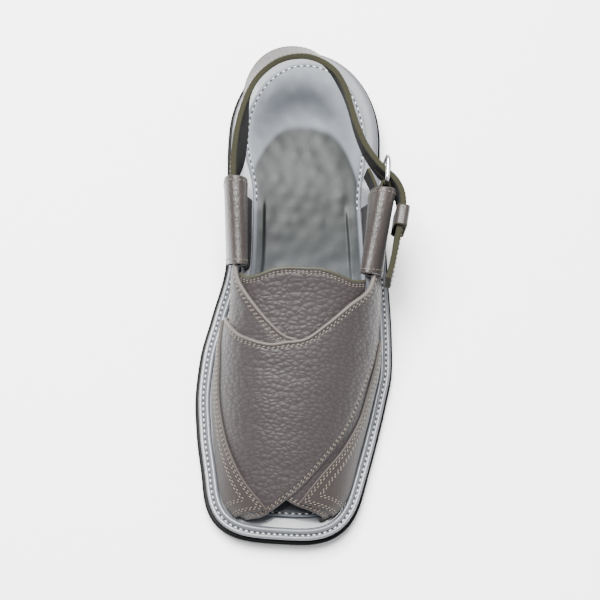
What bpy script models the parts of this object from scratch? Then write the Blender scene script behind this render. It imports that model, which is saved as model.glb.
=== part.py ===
"""Left peshawari chappal: two crossed vamp flaps, sleeved quarters and a buckled heel strap on a welted sole.

Metres, +Z up. The toe points to -Y and the outer (lateral) side to +X. The shoe stands on z = 0, and the
origin is the middle of the heel's rest. Distances along the shoe, called s, start at the platform's rear.
The last is a surface over s and the girth share, from -1 at the medial foot line over 0 at the crown to 1.
"""

import math

import bmesh
import bpy
import numpy as np

MM = 0.001

# Sole
LENGTH = 290 * MM
BALL_WIDTH = 110 * MM
HEEL_REST = 40 * MM
HEEL_RISE = 12 * MM
HEEL_LENGTH = 70 * MM
HEEL_TAPER = 1.5 * MM
HEEL_BREAST_HOLLOW = 5 * MM
TOE_SPRING = 6 * MM
OUTSOLE = 7 * MM
OUTSOLE_FLANGE = 1.9 * MM
TOE_FLANGE = 1.2 * MM
PLATFORM = 4 * MM
EDGE_ROUND = 0.8 * MM
GAP = 0.3 * MM
HEEL_ROUND = 54 * MM
HEEL_POWER = 2.0
TOE_ROUND = 35 * MM
TOE_POWER = 3.4

# Welt and insole
WELT_START = 88 * MM
WELT_STRIP = 1.4 * MM
STITCH_CHANNEL = 3.2 * MM
CHANNEL_DEPTH = 0.5 * MM
BEAD_CENTRE = 5.0 * MM
BEAD_RADIUS = 1.6 * MM
BEAD_LIFT = 1.5 * MM
INSOLE = 2.6 * MM
INSOLE_HEEL_INSET = 7.5 * MM
INSOLE_FORE_INSET = 12.9 * MM
INSOLE_STEP_START = 72 * MM
INSOLE_STEP_END = 83 * MM

# Last and upper
INSTEP = 66 * MM
MEDIAL_INSET = 11.3 * MM
LATERAL_INSET = 10.2 * MM
LAST_TOE_INSET = 10 * MM
LAST_TOE_ROUND = 29 * MM
FOOT_LIFT = 0.8 * MM
UNDER_FLAP = 1.6 * MM
OVER_FLAP = 1.8 * MM
OVER_FLAP_SEAT = 1.0 * MM
BAND = 1.4 * MM
TONGUE = 2.0 * MM

# Quarters: folded leather with a sleeve along the top
QUARTER_HEIGHT = 60 * MM
QUARTER_INSET = 10.4 * MM
QUARTER_BLADE = 4.0 * MM
QUARTER_FOOT_REAR = 94 * MM
QUARTER_FOOT_FRONT = 134 * MM
QUARTER_TOP_REAR = 98 * MM
QUARTER_TOP_FRONT = 146 * MM
SLEEVE_WALL = 1.8 * MM
SLEEVE_SLOT_LOW = 31 * MM
SLEEVE_SLOT_HIGH = 57.5 * MM

# Heel strap, keeper and buckle
STRAP_WIDTH = 23 * MM
STRAP = 3.2 * MM
KEEPER_START = 106 * MM
KEEPER_LENGTH = 12 * MM
KEEPER_WALL = 1.8 * MM
BUCKLE_WIRE = 1.2 * MM
BUCKLE_REAR = 79 * MM
BUCKLE_FRONT = 94 * MM
BUCKLE_X = 43.6 * MM
BUCKLE_MIDDLE = 65 * MM
BUCKLE_OPENING = 25.4 * MM
PRONG_RADIUS = 0.9 * MM
PRONG_SLOT = 2.8 * MM
CHAPE = 1.4 * MM
CHAPE_WIDTH = 14 * MM
CHAPE_LENGTH = 12 * MM
GUARD = 1.8 * MM
GUARD_WIDTH = 17 * MM

MEDIAL = -1
LATERAL = 1


def table(columns, *rows):
    """A table as named columns; the first column is its key."""
    return {name: np.array([row[i] for row in rows], float) for i, name in enumerate(columns.split())}


# Half widths of the platform as shares of the ball width
PLAN = table("share medial lateral",
             (0.00, 0.391, 0.392),
             (0.20, 0.393, 0.400),
             (0.33, 0.373, 0.440),
             (0.45, 0.359, 0.483),
             (0.57, 0.418, 0.523),
             (0.65, 0.460, 0.534),
             (0.72, 0.470, 0.509),
             (0.80, 0.450, 0.469),
             (0.90, 0.400, 0.409),
             (1.00, 0.364, 0.345))

# Underside of the outsole as shares of the heel rise and of the toe spring
SOLE_LINE = table("share heel toe",
                  (0.00, 1.00, 0.0),
                  (0.26, 1.00, 0.0),
                  (0.37, 0.66, 0.0),
                  (0.48, 0.20, 0.0),
                  (0.57, 0.00, 0.0),
                  (0.75, 0.00, 0.0),
                  (0.87, 0.00, 0.3),
                  (1.00, 0.00, 1.0))

# Sections of the last: height as a share of the instep, inset as a share of the side's inset, the power of
# the section's curve, the outward bulge of each side and the ridge's place as shares of the ball width
LAST = table("share height inset power bulge_medial bulge_lateral ridge",
             (0.42, 1.04, 1.00, 4.20, 0.118, 0.000, -0.010),
             (0.50, 1.00, 1.00, 3.80, 0.118, 0.000, -0.018),
             (0.55, 0.93, 1.00, 3.30, 0.082, 0.009, -0.027),
             (0.61, 0.84, 1.00, 2.80, 0.045, 0.009, -0.036),
             (0.69, 0.73, 1.00, 2.45, 0.009, 0.000, -0.045),
             (0.75, 0.65, 1.00, 2.25, 0.000, 0.000, -0.045),
             (0.81, 0.55, 1.00, 2.10, 0.000, 0.000, -0.036),
             (0.88, 0.41, 0.95, 2.00, 0.000, 0.000, -0.018),
             (0.93, 0.29, 0.90, 2.00, 0.000, 0.000, -0.009),
             (0.975, 0.14, 0.85, 2.00, 0.000, 0.000, 0.000),
             (1.00, 0.06, 0.85, 2.00, 0.000, 0.000, 0.000))

# Flap edges: for each place along the flap, the share of the length and the girth share of both edges
OVER_EDGES = table("along rear rear_girth front front_girth",
                   (0.00, 0.570, -1.00, 0.960, -1.00),
                   (0.08, 0.585, -0.80, 0.957, -0.38),
                   (0.18, 0.605, -0.58, 0.945, -0.14),
                   (0.30, 0.629, -0.36, 0.916, 0.09),
                   (0.45, 0.643, -0.10, 0.856, 0.34),
                   (0.58, 0.633, 0.03, 0.770, 0.56),
                   (0.70, 0.600, 0.14, 0.680, 0.64),
                   (0.82, 0.560, 0.27, 0.600, 0.69),
                   (0.91, 0.523, 0.46, 0.540, 0.72),
                   (1.00, 0.478, 0.57, 0.478, 0.75))

UNDER_EDGES = table("along rear rear_girth front front_girth",
                    (0.00, 0.597, 1.00, 0.958, 1.00),
                    (0.12, 0.608, 0.78, 0.946, 0.45),
                    (0.25, 0.621, 0.52, 0.928, 0.05),
                    (0.42, 0.632, 0.16, 0.860, -0.18),
                    (0.56, 0.628, 0.00, 0.760, -0.38),
                    (0.70, 0.605, -0.10, 0.670, -0.54),
                    (0.82, 0.563, -0.27, 0.590, -0.66),
                    (0.91, 0.525, -0.44, 0.540, -0.68),
                    (1.00, 0.484, -0.54, 0.484, -0.74))

TONGUE_EDGES = table("along rear rear_girth front front_girth",
                     (0.00, 0.516, -0.48, 0.585, -0.46),
                     (0.14, 0.526, -0.30, 0.605, -0.32),
                     (0.28, 0.523, -0.18, 0.625, -0.20),
                     (0.42, 0.510, -0.04, 0.640, -0.08),
                     (0.56, 0.504, 0.03, 0.645, 0.04),
                     (0.70, 0.511, 0.14, 0.635, 0.16),
                     (0.86, 0.519, 0.30, 0.610, 0.31),
                     (1.00, 0.513, 0.46, 0.585, 0.45))

MEDIAL_BAND_EDGES = table("along rear rear_girth front front_girth",
                          (0.00, 0.590, -0.93, 0.590, -0.79),
                          (0.20, 0.665, -0.93, 0.661, -0.73),
                          (0.40, 0.745, -0.93, 0.740, -0.70),
                          (0.60, 0.820, -0.93, 0.808, -0.63),
                          (0.80, 0.897, -0.92, 0.879, -0.47),
                          (1.00, 0.950, -0.84, 0.934, -0.21))

LATERAL_BAND_EDGES = table("along rear rear_girth front front_girth",
                           (0.00, 0.605, 0.76, 0.605, 0.93),
                           (0.20, 0.655, 0.70, 0.665, 0.93),
                           (0.40, 0.745, 0.68, 0.755, 0.93),
                           (0.60, 0.813, 0.56, 0.830, 0.93),
                           (0.80, 0.880, 0.33, 0.900, 0.92),
                           (1.00, 0.928, 0.17, 0.945, 0.84))

# Centre of each quarter's sleeve, from its rear to its front mouth, at the slot's low and high ends, and
# half the sleeve's thickness
MEDIAL_SLEEVE = table("share low high half",
                      (0.0, -0.0410, -0.0415, 0.0046),
                      (1.0, -0.0375, -0.0362, 0.0046))
LATERAL_SLEEVE = table("share low high half",
                       (0.0, 0.0425, 0.0428, 0.0070),
                       (1.0, 0.0440, 0.0385, 0.0058))

# Route of the heel strap's top edge from the medial sleeve round the heel to the free end:
# millimetres along the shoe, across it and above the floor, and the lean of the strap in degrees
STRAP_ROUTE = table("row s x top lean",
                    (0, 122, -39.1, 73.4, 0),
                    (1, 100, -41.2, 76.8, 0),
                    (2, 82, -42.5, 78.5, 14),
                    (3, 64, -41.0, 80.0, 16),
                    (4, 46, -36.0, 80.5, 8),
                    (5, 33, -27.0, 80.0, -10),
                    (6, 25.5, -15.0, 79.5, -28),
                    (7, 23.5, -5.0, 79.0, -34),
                    (8, 26.5, 4.0, 78.8, -32),
                    (9, 31, 11.0, 78.5, -27),
                    (10, 37, 16.3, 78.2, -20),
                    (11, 44, 20.0, 78.0, -12),
                    (12, 58, 24.3, 77.8, -3),
                    (13, 68, 27.6, 77.6, 0),
                    (14, 76, 32.3, 77.2, 0),
                    (15, 84, 41.0, 76.8, 0),
                    (16, 91, 49.6, 76.5, 0),
                    (17, 98, 53.2, 76.2, 0),
                    (18, 106, 54.2, 75.6, 0),
                    (19, 114, 54.0, 75.0, 0),
                    (20, 124, 53.0, 74.0, -2),
                    (21, 134, 51.8, 72.8, -5),
                    (22, 143, 50.6, 71.5, -7),
                    (23, 151, 49.8, 70.2, -8))

GUARD_ROUTE = table("row s x",
                    (0, 110, 39.4),
                    (1, 104, 39.2),
                    (2, 98, 38.8),
                    (3, 92, 36.6),
                    (4, 86, 33.4))


def slopes(x, y):
    """Slopes of a smooth curve that never overshoots its rows."""
    step = np.diff(y) / np.diff(x)
    slope = np.zeros_like(y)
    slope[0], slope[-1] = step[0], step[-1]
    for i in range(1, len(x) - 1):
        if step[i - 1] * step[i] > 0:
            slope[i] = 2 * step[i - 1] * step[i] / (step[i - 1] + step[i])
    return slope


def sample(rows, column, key):
    """Smooth value of a column at a key, held level past both ends."""
    x = next(iter(rows.values()))
    y = rows[column]
    slope = slopes(x, y)
    key = min(max(key, x[0]), x[-1])
    i = min(max(int(np.searchsorted(x, key)) - 1, 0), len(x) - 2)
    span = x[i + 1] - x[i]
    t = (key - x[i]) / span
    rise = y[i] * (1 + 2 * t) * (1 - t) ** 2 + y[i + 1] * t * t * (3 - 2 * t)
    return float(rise + span * (slope[i] * t * (1 - t) ** 2 + slope[i + 1] * t * t * (t - 1)))


def route_point(rows, column, key):
    """Value on a round curve through a route's rows."""
    y = rows[column]
    i = min(max(int(key), 0), len(y) - 2)
    t = key - i
    before = y[max(i - 1, 0)]
    after = y[min(i + 2, len(y) - 1)]
    start = (y[i + 1] - before) / 2
    end = (after - y[i]) / 2
    return float(y[i] * (1 + 2 * t) * (1 - t) ** 2 + y[i + 1] * t * t * (3 - 2 * t)
                 + start * t * (1 - t) ** 2 + end * t * t * (t - 1))


def smooth_step(value, low, high):
    t = min(max((value - low) / (high - low), 0.0), 1.0)
    return t * t * (3 - 2 * t)


# The platform's outline and profile

def sole_line(s):
    """Height of the outsole's underside."""
    share = s / LENGTH
    return HEEL_RISE * sample(SOLE_LINE, "heel", share) + TOE_SPRING * sample(SOLE_LINE, "toe", share)


def deck(s):
    """Height of the platform's top."""
    return sole_line(s) + OUTSOLE + GAP + PLATFORM


def half_width(s, side):
    return sample(PLAN, "medial" if side == MEDIAL else "lateral", s / LENGTH) * BALL_WIDTH


def end_rounding(s, toe_end, toe_round):
    """Share of the half width that the round heel and the squared toe leave."""
    rear = min(max(1 - s / HEEL_ROUND, 0.0), 1.0)
    front = min(max(1 - (toe_end - s) / toe_round, 0.0), 1.0)
    return (1 - rear ** HEEL_POWER) ** (1 / HEEL_POWER) * (1 - front ** TOE_POWER) ** (1 / TOE_POWER)


def outline(station, side):
    """Platform outline at a station from 0 at the rear to 1 at the toe, as (s, x)."""
    s = LENGTH * (1 - math.cos(math.pi * station)) / 2
    return np.array([s, side * half_width(s, side) * end_rounding(s, LENGTH, TOE_ROUND)])


def rim_point(station, side, inset):
    """Outline point moved inward by the inset, square to the outline."""
    step = 0.002
    if station <= 0:
        return np.array([inset, 0.0])
    if station >= 1:
        return np.array([LENGTH - inset, 0.0])
    along = outline(min(station + step, 1), side) - outline(max(station - step, 0), side)
    along /= np.linalg.norm(along)
    inward = np.array([along[1], -along[0]]) * side
    return outline(station, side) + inset * inward


def rim_x(s, side, inset):
    """Half width at s of the outline moved inward by the inset, away from the ends."""
    return side * (half_width(s, side) - inset)


def station_of(s):
    return math.acos(1 - 2 * s / LENGTH) / math.pi


# The last

def feather(s, side):
    """Foot line of the last at s."""
    share = sample(LAST, "inset", s / LENGTH)
    inset = (MEDIAL_INSET if side == MEDIAL else LATERAL_INSET) * share
    return side * (half_width(s, side) - inset) * end_rounding(s, LENGTH - LAST_TOE_INSET, LAST_TOE_ROUND)


def last_point(s, girth):
    share = s / LENGTH
    side = MEDIAL if girth < 0 else LATERAL
    power = sample(LAST, "power", share)
    bulge = BALL_WIDTH * sample(LAST, "bulge_medial" if side == MEDIAL else "bulge_lateral", share)
    ridge = BALL_WIDTH * sample(LAST, "ridge", share)
    angle = (1 - abs(girth)) * math.pi / 2
    across = math.cos(angle) ** (2 / power)
    rise = math.sin(angle) ** (2 / power)
    x = ridge + (feather(s, side) - ridge) * across + side * bulge * rise * math.sqrt(across)
    return np.array([x, HEEL_REST - s, deck(s) + FOOT_LIFT + INSTEP * sample(LAST, "height", share) * rise])


def last_normal(s, girth):
    """Outward unit normal of the last."""
    step_s = 0.5 * MM
    step_g = 0.01
    low = max(girth - step_g, -1.0)
    high = min(girth + step_g, 1.0)
    across = last_point(s, high) - last_point(s, low)
    along = last_point(s + step_s, girth) - last_point(s - step_s, girth)
    normal = np.cross(along, across)
    return normal / np.linalg.norm(normal)


# Mesh helpers

def collection(name):
    made = bpy.data.collections.new(name)
    bpy.context.scene.collection.children.link(made)
    return made


def material(name, colour, roughness, metallic=0.0):
    made = bpy.data.materials.new(name)
    made.use_nodes = True
    shader = made.node_tree.nodes["Principled BSDF"]
    shader.inputs["Base Color"].default_value = (*colour, 1.0)
    shader.inputs["Roughness"].default_value = roughness
    shader.inputs["Metallic"].default_value = metallic
    return made


def add_object(name, mesh, group, look):
    made = bpy.data.objects.new(name, mesh)
    group.objects.link(made)
    if look:
        mesh.materials.append(look)
    mesh.shade_smooth()
    mesh.set_sharp_from_angle(angle=math.radians(35))
    return made


def mesh_from(name, points, faces, closed=True):
    """A mesh from points and faces; a closed one gets its faces turned outward."""
    mesh = bpy.data.meshes.new(name)
    mesh.from_pydata([tuple(p) for p in points], [], faces)
    work = bmesh.new()
    work.from_mesh(mesh)
    if closed:
        bmesh.ops.recalc_face_normals(work, faces=work.faces)
    work.to_mesh(mesh)
    work.free()
    return mesh


def grid_faces(rows, columns):
    """Quads of a grid of points stored row by row."""
    faces = []
    for i in range(rows - 1):
        for j in range(columns - 1):
            corner = i * columns + j
            faces.append((corner, corner + 1, corner + columns + 1, corner + columns))
    return faces


def loft(name, rings):
    """A closed mesh through rings of equal counts, with flat fans of one face at both ends."""
    count = len(rings[0])
    points = [p for ring in rings for p in ring]
    faces = []
    for i in range(len(rings) - 1):
        for j in range(count):
            k = (j + 1) % count
            faces.append((i * count + j, i * count + k, (i + 1) * count + k, (i + 1) * count + j))
    faces.append(tuple(range(count)))
    faces.append(tuple(range((len(rings) - 1) * count, len(rings) * count)))
    return mesh_from(name, points, faces)


def add_solidify(thing, thickness, offset):
    shell = thing.modifiers.new("wall", "SOLIDIFY")
    shell.thickness = thickness
    shell.offset = offset
    shell.use_quality_normals = True


def add_boolean(thing, other, operation):
    cut = thing.modifiers.new(operation.lower(), "BOOLEAN")
    cut.operation = operation
    cut.solver = "EXACT"
    cut.object = other


def hide_cutter(thing):
    thing.hide_render = True
    thing.display_type = "WIRE"


# Sole

STATIONS = 36


def plate(name, levels, group, look):
    """A plate of the shoe's outline. Each level gives an inset and a height over s."""
    points = []
    rings = []
    for inset, height in levels:
        ring = []
        for side, order in ((MEDIAL, range(STATIONS + 1)), (LATERAL, range(STATIONS - 1, 0, -1))):
            for i in order:
                station = i / STATIONS
                s, x = rim_point(station, side, inset(outline(station, side)[0]))
                ring.append(len(points))
                points.append((x, HEEL_REST - s, height(outline(station, side)[0])))
        rings.append(ring)
    count = len(rings[0])
    faces = []
    for low, high in zip(rings, rings[1:]):
        for j in range(count):
            k = (j + 1) % count
            faces.append((low[j], low[k], high[k], high[j]))
    for ring in (rings[0], rings[-1]):
        faces.append((ring[0], ring[1], ring[-1]))
        for i in range(1, STATIONS - 1):
            faces.append((ring[i], ring[i + 1], ring[-i - 1], ring[-i]))
        faces.append((ring[STATIONS - 1], ring[STATIONS], ring[STATIONS + 1]))
    return add_object(name, mesh_from(name, points, faces), group, look)


def flange(s):
    return -(OUTSOLE_FLANGE + TOE_FLANGE * smooth_step(s, 0.85 * LENGTH, LENGTH))


def make_outsole(group, look):
    levels = [(lambda s: flange(s) + EDGE_ROUND, sole_line),
              (flange, lambda s: sole_line(s) + EDGE_ROUND),
              (flange, lambda s: sole_line(s) + OUTSOLE - EDGE_ROUND),
              (lambda s: flange(s) + EDGE_ROUND, lambda s: sole_line(s) + OUTSOLE)]
    plate("outsole", levels, group, look)


def make_platform(group, look):
    low = OUTSOLE + GAP
    levels = [(lambda s: EDGE_ROUND / 2, lambda s: sole_line(s) + low),
              (lambda s: 0.0, lambda s: sole_line(s) + low + EDGE_ROUND),
              (lambda s: 0.0, lambda s: deck(s) - EDGE_ROUND),
              (lambda s: EDGE_ROUND / 2, deck)]
    plate("platform", levels, group, look)


def insole_inset(s):
    step = smooth_step(s, INSOLE_STEP_START, INSOLE_STEP_END)
    return INSOLE_HEEL_INSET + (INSOLE_FORE_INSET - INSOLE_HEEL_INSET) * step


def make_insole(group, look):
    levels = [(insole_inset, lambda s: deck(s) + GAP),
              (insole_inset, lambda s: deck(s) + INSOLE - EDGE_ROUND),
              (lambda s: insole_inset(s) + EDGE_ROUND, lambda s: deck(s) + INSOLE)]
    plate("insole", levels, group, look)


def make_heel(group, look):
    """Heel block with a hollowed breast, a little narrower at the floor."""
    rings = []
    count = 14
    breast = 8
    for height, inset in ((0.0, HEEL_TAPER), (HEEL_RISE - GAP, 0.0)):
        ring = []
        for side, order in ((MEDIAL, range(count + 1)), (LATERAL, range(count, 0, -1))):
            if side == LATERAL:
                for j in range(1, breast):
                    t = j / breast
                    start = rim_point(station_of(HEEL_LENGTH), MEDIAL, inset)
                    end = rim_point(station_of(HEEL_LENGTH), LATERAL, inset)
                    s = HEEL_LENGTH - HEEL_BREAST_HOLLOW * math.sin(math.pi * t)
                    ring.append((start[1] + (end[1] - start[1]) * t, HEEL_REST - s, height))
            for i in order:
                s, x = rim_point(station_of(HEEL_LENGTH) * i / count, side, inset)
                ring.append((x, HEEL_REST - s, height))
        rings.append(ring)
    add_object("heel", loft("heel", rings), group, look)


def welt_profile():
    """Inset and height of the welt's section, from its outer foot over strip, channel and bead."""
    profile = [(0.1 * MM, GAP), (0.1 * MM, WELT_STRIP - 0.3 * MM), (0.4 * MM, WELT_STRIP)]
    profile += [(STITCH_CHANNEL - 0.7 * MM, WELT_STRIP), (STITCH_CHANNEL - 0.2 * MM, WELT_STRIP - CHANNEL_DEPTH)]
    for angle in (15, 50, 90, 130, 165):
        turn = math.radians(angle)
        profile.append((BEAD_CENTRE - BEAD_RADIUS * math.cos(turn), BEAD_LIFT + BEAD_RADIUS * math.sin(turn)))
    profile.append((BEAD_CENTRE + BEAD_RADIUS, GAP))
    return profile


def make_welt(group, look):
    """Welt strip with its stitch channel and the rolled bead, from quarter to quarter round the toe."""
    half = 34
    start = station_of(WELT_START)
    path = [(MEDIAL, start + (1 - start) * i / half) for i in range(half + 1)]
    path += [(LATERAL, start + (1 - start) * i / half) for i in range(half - 1, -1, -1)]
    rings = []
    for side, station in path:
        s_deck = outline(station, side)[0]
        ring = []
        for inset, height in welt_profile():
            s, x = rim_point(station, side, inset)
            ring.append((x, HEEL_REST - s, deck(s_deck) + height))
        rings.append(ring)
    add_object("welt", loft("welt", rings), group, look)


# Upper

def flap(name, edges, seat, thickness, counts, group, look):
    """A patch of the last between two edges, lifted by its seat and given the leather's thickness."""
    points = []
    along_count, across_count = counts
    for i in range(along_count + 1):
        u = i / along_count
        rear = np.array([sample(edges, "rear", u) * LENGTH, sample(edges, "rear_girth", u)])
        front = np.array([sample(edges, "front", u) * LENGTH, sample(edges, "front_girth", u)])
        for j in range(across_count + 1):
            s, girth = rear + (front - rear) * j / across_count
            points.append(last_point(s, girth) + seat * last_normal(s, girth))
    mesh = mesh_from(name, points, grid_faces(along_count + 1, across_count + 1), closed=False)
    turn_outward(mesh, np.array([0.0, HEEL_REST - 0.7 * LENGTH, 0.0]))
    made = add_object(name, mesh, group, look)
    add_solidify(made, thickness, 1.0)
    return made


def turn_outward(mesh, centre):
    """Turns an open surface so that its faces look away from a centre."""
    facing = sum(np.dot(f.normal, np.array(f.center) - centre) for f in mesh.polygons)
    if facing < 0:
        mesh.flip_normals()


def make_upper(group, cutters, look):
    """The two crossed flaps, joined where the over flap lies on the under flap."""
    under = flap("under_flap", UNDER_EDGES, 0.0, UNDER_FLAP, (30, 18), cutters, None)
    hide_cutter(under)
    upper = flap("upper", OVER_EDGES, OVER_FLAP_SEAT, OVER_FLAP, (34, 22), group, look)
    add_boolean(upper, under, "UNION")


def make_overlays(group, band_look, tongue_look):
    over_top = OVER_FLAP_SEAT + OVER_FLAP + GAP
    flap("medial_band", MEDIAL_BAND_EDGES, over_top, BAND, (26, 5), group, band_look)
    flap("lateral_band", LATERAL_BAND_EDGES, UNDER_FLAP + GAP, BAND, (26, 5), group, band_look)
    flap("tongue", TONGUE_EDGES, -TONGUE - GAP, TONGUE, (16, 6), group, tongue_look)


# Quarters

def quarter_point(sleeve, side, share, height, offset):
    """A point of a quarter: share from rear to front, height above the deck, offset across its thickness."""
    rise = height / QUARTER_HEIGHT
    rear = QUARTER_FOOT_REAR + (QUARTER_TOP_REAR - QUARTER_FOOT_REAR) * rise
    front = QUARTER_FOOT_FRONT + (QUARTER_TOP_FRONT - QUARTER_FOOT_FRONT) * rise
    s = rear + (front - rear) * share
    foot = rim_x(QUARTER_FOOT_REAR + (QUARTER_FOOT_FRONT - QUARTER_FOOT_REAR) * share, side, QUARTER_INSET)
    low = sample(sleeve, "low", share)
    high = sample(sleeve, "high", share)
    if height < SLEEVE_SLOT_LOW:
        x = foot + (low - foot) * smooth_step(height, -0.6 * SLEEVE_SLOT_LOW, SLEEVE_SLOT_LOW)
        base = foot + (low - foot) * smooth_step(0.0, -0.6 * SLEEVE_SLOT_LOW, SLEEVE_SLOT_LOW)
        x += (foot - base) * (1 - height / SLEEVE_SLOT_LOW)
    else:
        x = low + (high - low) * (height - SLEEVE_SLOT_LOW) / (QUARTER_HEIGHT - SLEEVE_SLOT_LOW)
    return np.array([x + offset, HEEL_REST - s, deck(s) + GAP + height])


# The quarter's section: height as a share of the quarter's, and how far it has swelled from blade to sleeve
QUARTER_SECTION = table("height swell", (0.0, 0.0), (0.22, 0.0), (0.42, 0.12), (0.53, 0.82), (0.66, 1.0),
                        (0.80, 1.0), (0.93, 0.86), (0.985, 0.45))


def quarter_ring(sleeve, side, share):
    half = sample(sleeve, "half", share)
    blade = QUARTER_BLADE / 2
    outer = []
    inner = []
    for height, swell in zip(QUARTER_SECTION["height"], QUARTER_SECTION["swell"]):
        offset = blade + (half - blade) * swell
        outer.append(quarter_point(sleeve, side, share, height * QUARTER_HEIGHT, offset))
        inner.append(quarter_point(sleeve, side, share, height * QUARTER_HEIGHT, -offset))
    top = quarter_point(sleeve, side, share, QUARTER_HEIGHT, 0.0)
    return outer + [top] + inner[::-1]


def slot_ring(sleeve, side, share):
    """Section of the slot through a sleeve."""
    half = sample(sleeve, "half", share) - SLEEVE_WALL
    span = SLEEVE_SLOT_HIGH - SLEEVE_SLOT_LOW
    outer = []
    inner = []
    for height, width in ((0.0, 0.7), (0.08, 1.0), (0.5, 1.0), (0.92, 1.0), (1.0, 0.7)):
        level = SLEEVE_SLOT_LOW + span * height
        outer.append(quarter_point(sleeve, side, share, level, half * width))
        inner.append(quarter_point(sleeve, side, share, level, -half * width))
    return outer + inner[::-1]


def make_quarter(name, sleeve, side, group, cutters, look):
    count = 8
    rings = [quarter_ring(sleeve, side, i / count) for i in range(count + 1)]
    made = add_object(name, loft(name, rings), group, look)
    slot_rings = [slot_ring(sleeve, side, -0.2 + 1.4 * i / count) for i in range(count + 1)]
    slot = add_object(name + "_slot", loft(name + "_slot", slot_rings), cutters, None)
    hide_cutter(slot)
    add_boolean(made, slot, "DIFFERENCE")


# Heel strap, keeper and buckle

def box_cutter(name, size, s, cutters):
    """A box for the prong's way, centred on the buckle's plane at s."""
    mesh = bpy.data.meshes.new(name)
    work = bmesh.new()
    bmesh.ops.create_cube(work, size=1.0)
    bmesh.ops.scale(work, vec=size, verts=work.verts)
    bmesh.ops.translate(work, vec=(BUCKLE_X, HEEL_REST - s, BUCKLE_MIDDLE), verts=work.verts)
    work.to_mesh(mesh)
    work.free()
    cutter = add_object(name, mesh, cutters, None)
    hide_cutter(cutter)
    return cutter


def strap_frame(key):
    """Top edge, downward direction and sideways normal of the strap at a place on its route."""
    top = np.array([route_point(STRAP_ROUTE, "x", key) * MM,
                    HEEL_REST - route_point(STRAP_ROUTE, "s", key) * MM,
                    route_point(STRAP_ROUTE, "top", key) * MM])
    step = 0.05
    ahead = [route_point(STRAP_ROUTE, c, key + step) - route_point(STRAP_ROUTE, c, key - step) for c in ("x", "s")]
    along = np.array([ahead[0], -ahead[1], 0.0])
    along /= np.linalg.norm(along)
    outward = np.cross(np.array([0.0, 0.0, 1.0]), along)
    lean = math.radians(route_point(STRAP_ROUTE, "lean", key))
    down = -np.array([0.0, 0.0, 1.0]) * math.cos(lean) + outward * -math.sin(lean)
    return top, down, np.cross(down, along), along


def make_strap(group, cutters, look):
    last_row = len(STRAP_ROUTE["row"]) - 1
    count = 2 * last_row
    across = 3
    points = []
    for i in range(count + 1):
        top, down, normal, along = strap_frame(last_row * i / count)
        for j in range(across + 1):
            points.append(top + down * STRAP_WIDTH * j / across)
    mesh = mesh_from("heel_strap", points, grid_faces(count + 1, across + 1), closed=False)
    made = add_object("heel_strap", mesh, group, look)
    add_solidify(made, STRAP, 0.0)
    hole = box_cutter("prong_hole", (14 * MM, 13 * MM, PRONG_SLOT), BUCKLE_FRONT - 4.5 * MM, cutters)
    add_boolean(made, hole, "DIFFERENCE")


def key_at(s):
    """Place on the strap's last stretch where it passes s."""
    low, high = 15.0, float(len(STRAP_ROUTE["row"]) - 1)
    for _ in range(40):
        middle = (low + high) / 2
        if route_point(STRAP_ROUTE, "s", middle) * MM < s:
            low = middle
        else:
            high = middle
    return low


def make_keeper(group, look):
    """Leather loop round the strap's free end."""
    inside = STRAP / 2 + GAP
    rise = GAP + 0.4 * MM
    rounding = 0.9 * MM
    points = []
    rows = 4
    for i in range(rows + 1):
        top, down, normal, along = strap_frame(key_at(KEEPER_START + KEEPER_LENGTH * i / rows))
        low = STRAP_WIDTH + rise
        corners = ((inside, -rise + rounding), (inside - rounding, -rise), (-inside + rounding, -rise),
                   (-inside, -rise + rounding), (-inside, low - rounding), (-inside + rounding, low),
                   (inside - rounding, low), (inside, low - rounding))
        for sideways, depth in corners:
            points.append(top + normal * sideways + down * depth)
    count = 8
    faces = []
    for i in range(rows):
        for j in range(count):
            k = (j + 1) % count
            faces.append((i * count + j, i * count + k, (i + 1) * count + k, (i + 1) * count + j))
    mesh = mesh_from("strap_keeper", points, faces, closed=False)
    turn_outward(mesh, np.mean(np.array(points), axis=0))
    made = add_object("strap_keeper", mesh, group, look)
    add_solidify(made, KEEPER_WALL, 1.0)


def wire(name, points, radius, cyclic, group, look):
    """A round wire through points, as a mesh."""
    curve = bpy.data.curves.new(name, "CURVE")
    curve.dimensions = "3D"
    curve.bevel_depth = radius
    curve.bevel_resolution = 2
    curve.use_fill_caps = True
    spline = curve.splines.new("POLY")
    spline.points.add(len(points) - 1)
    for place, point in zip(spline.points, points):
        place.co = (*point, 1.0)
    spline.use_cyclic_u = cyclic
    made = bpy.data.objects.new(name, curve)
    group.objects.link(made)
    curve.materials.append(look)
    return made


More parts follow.
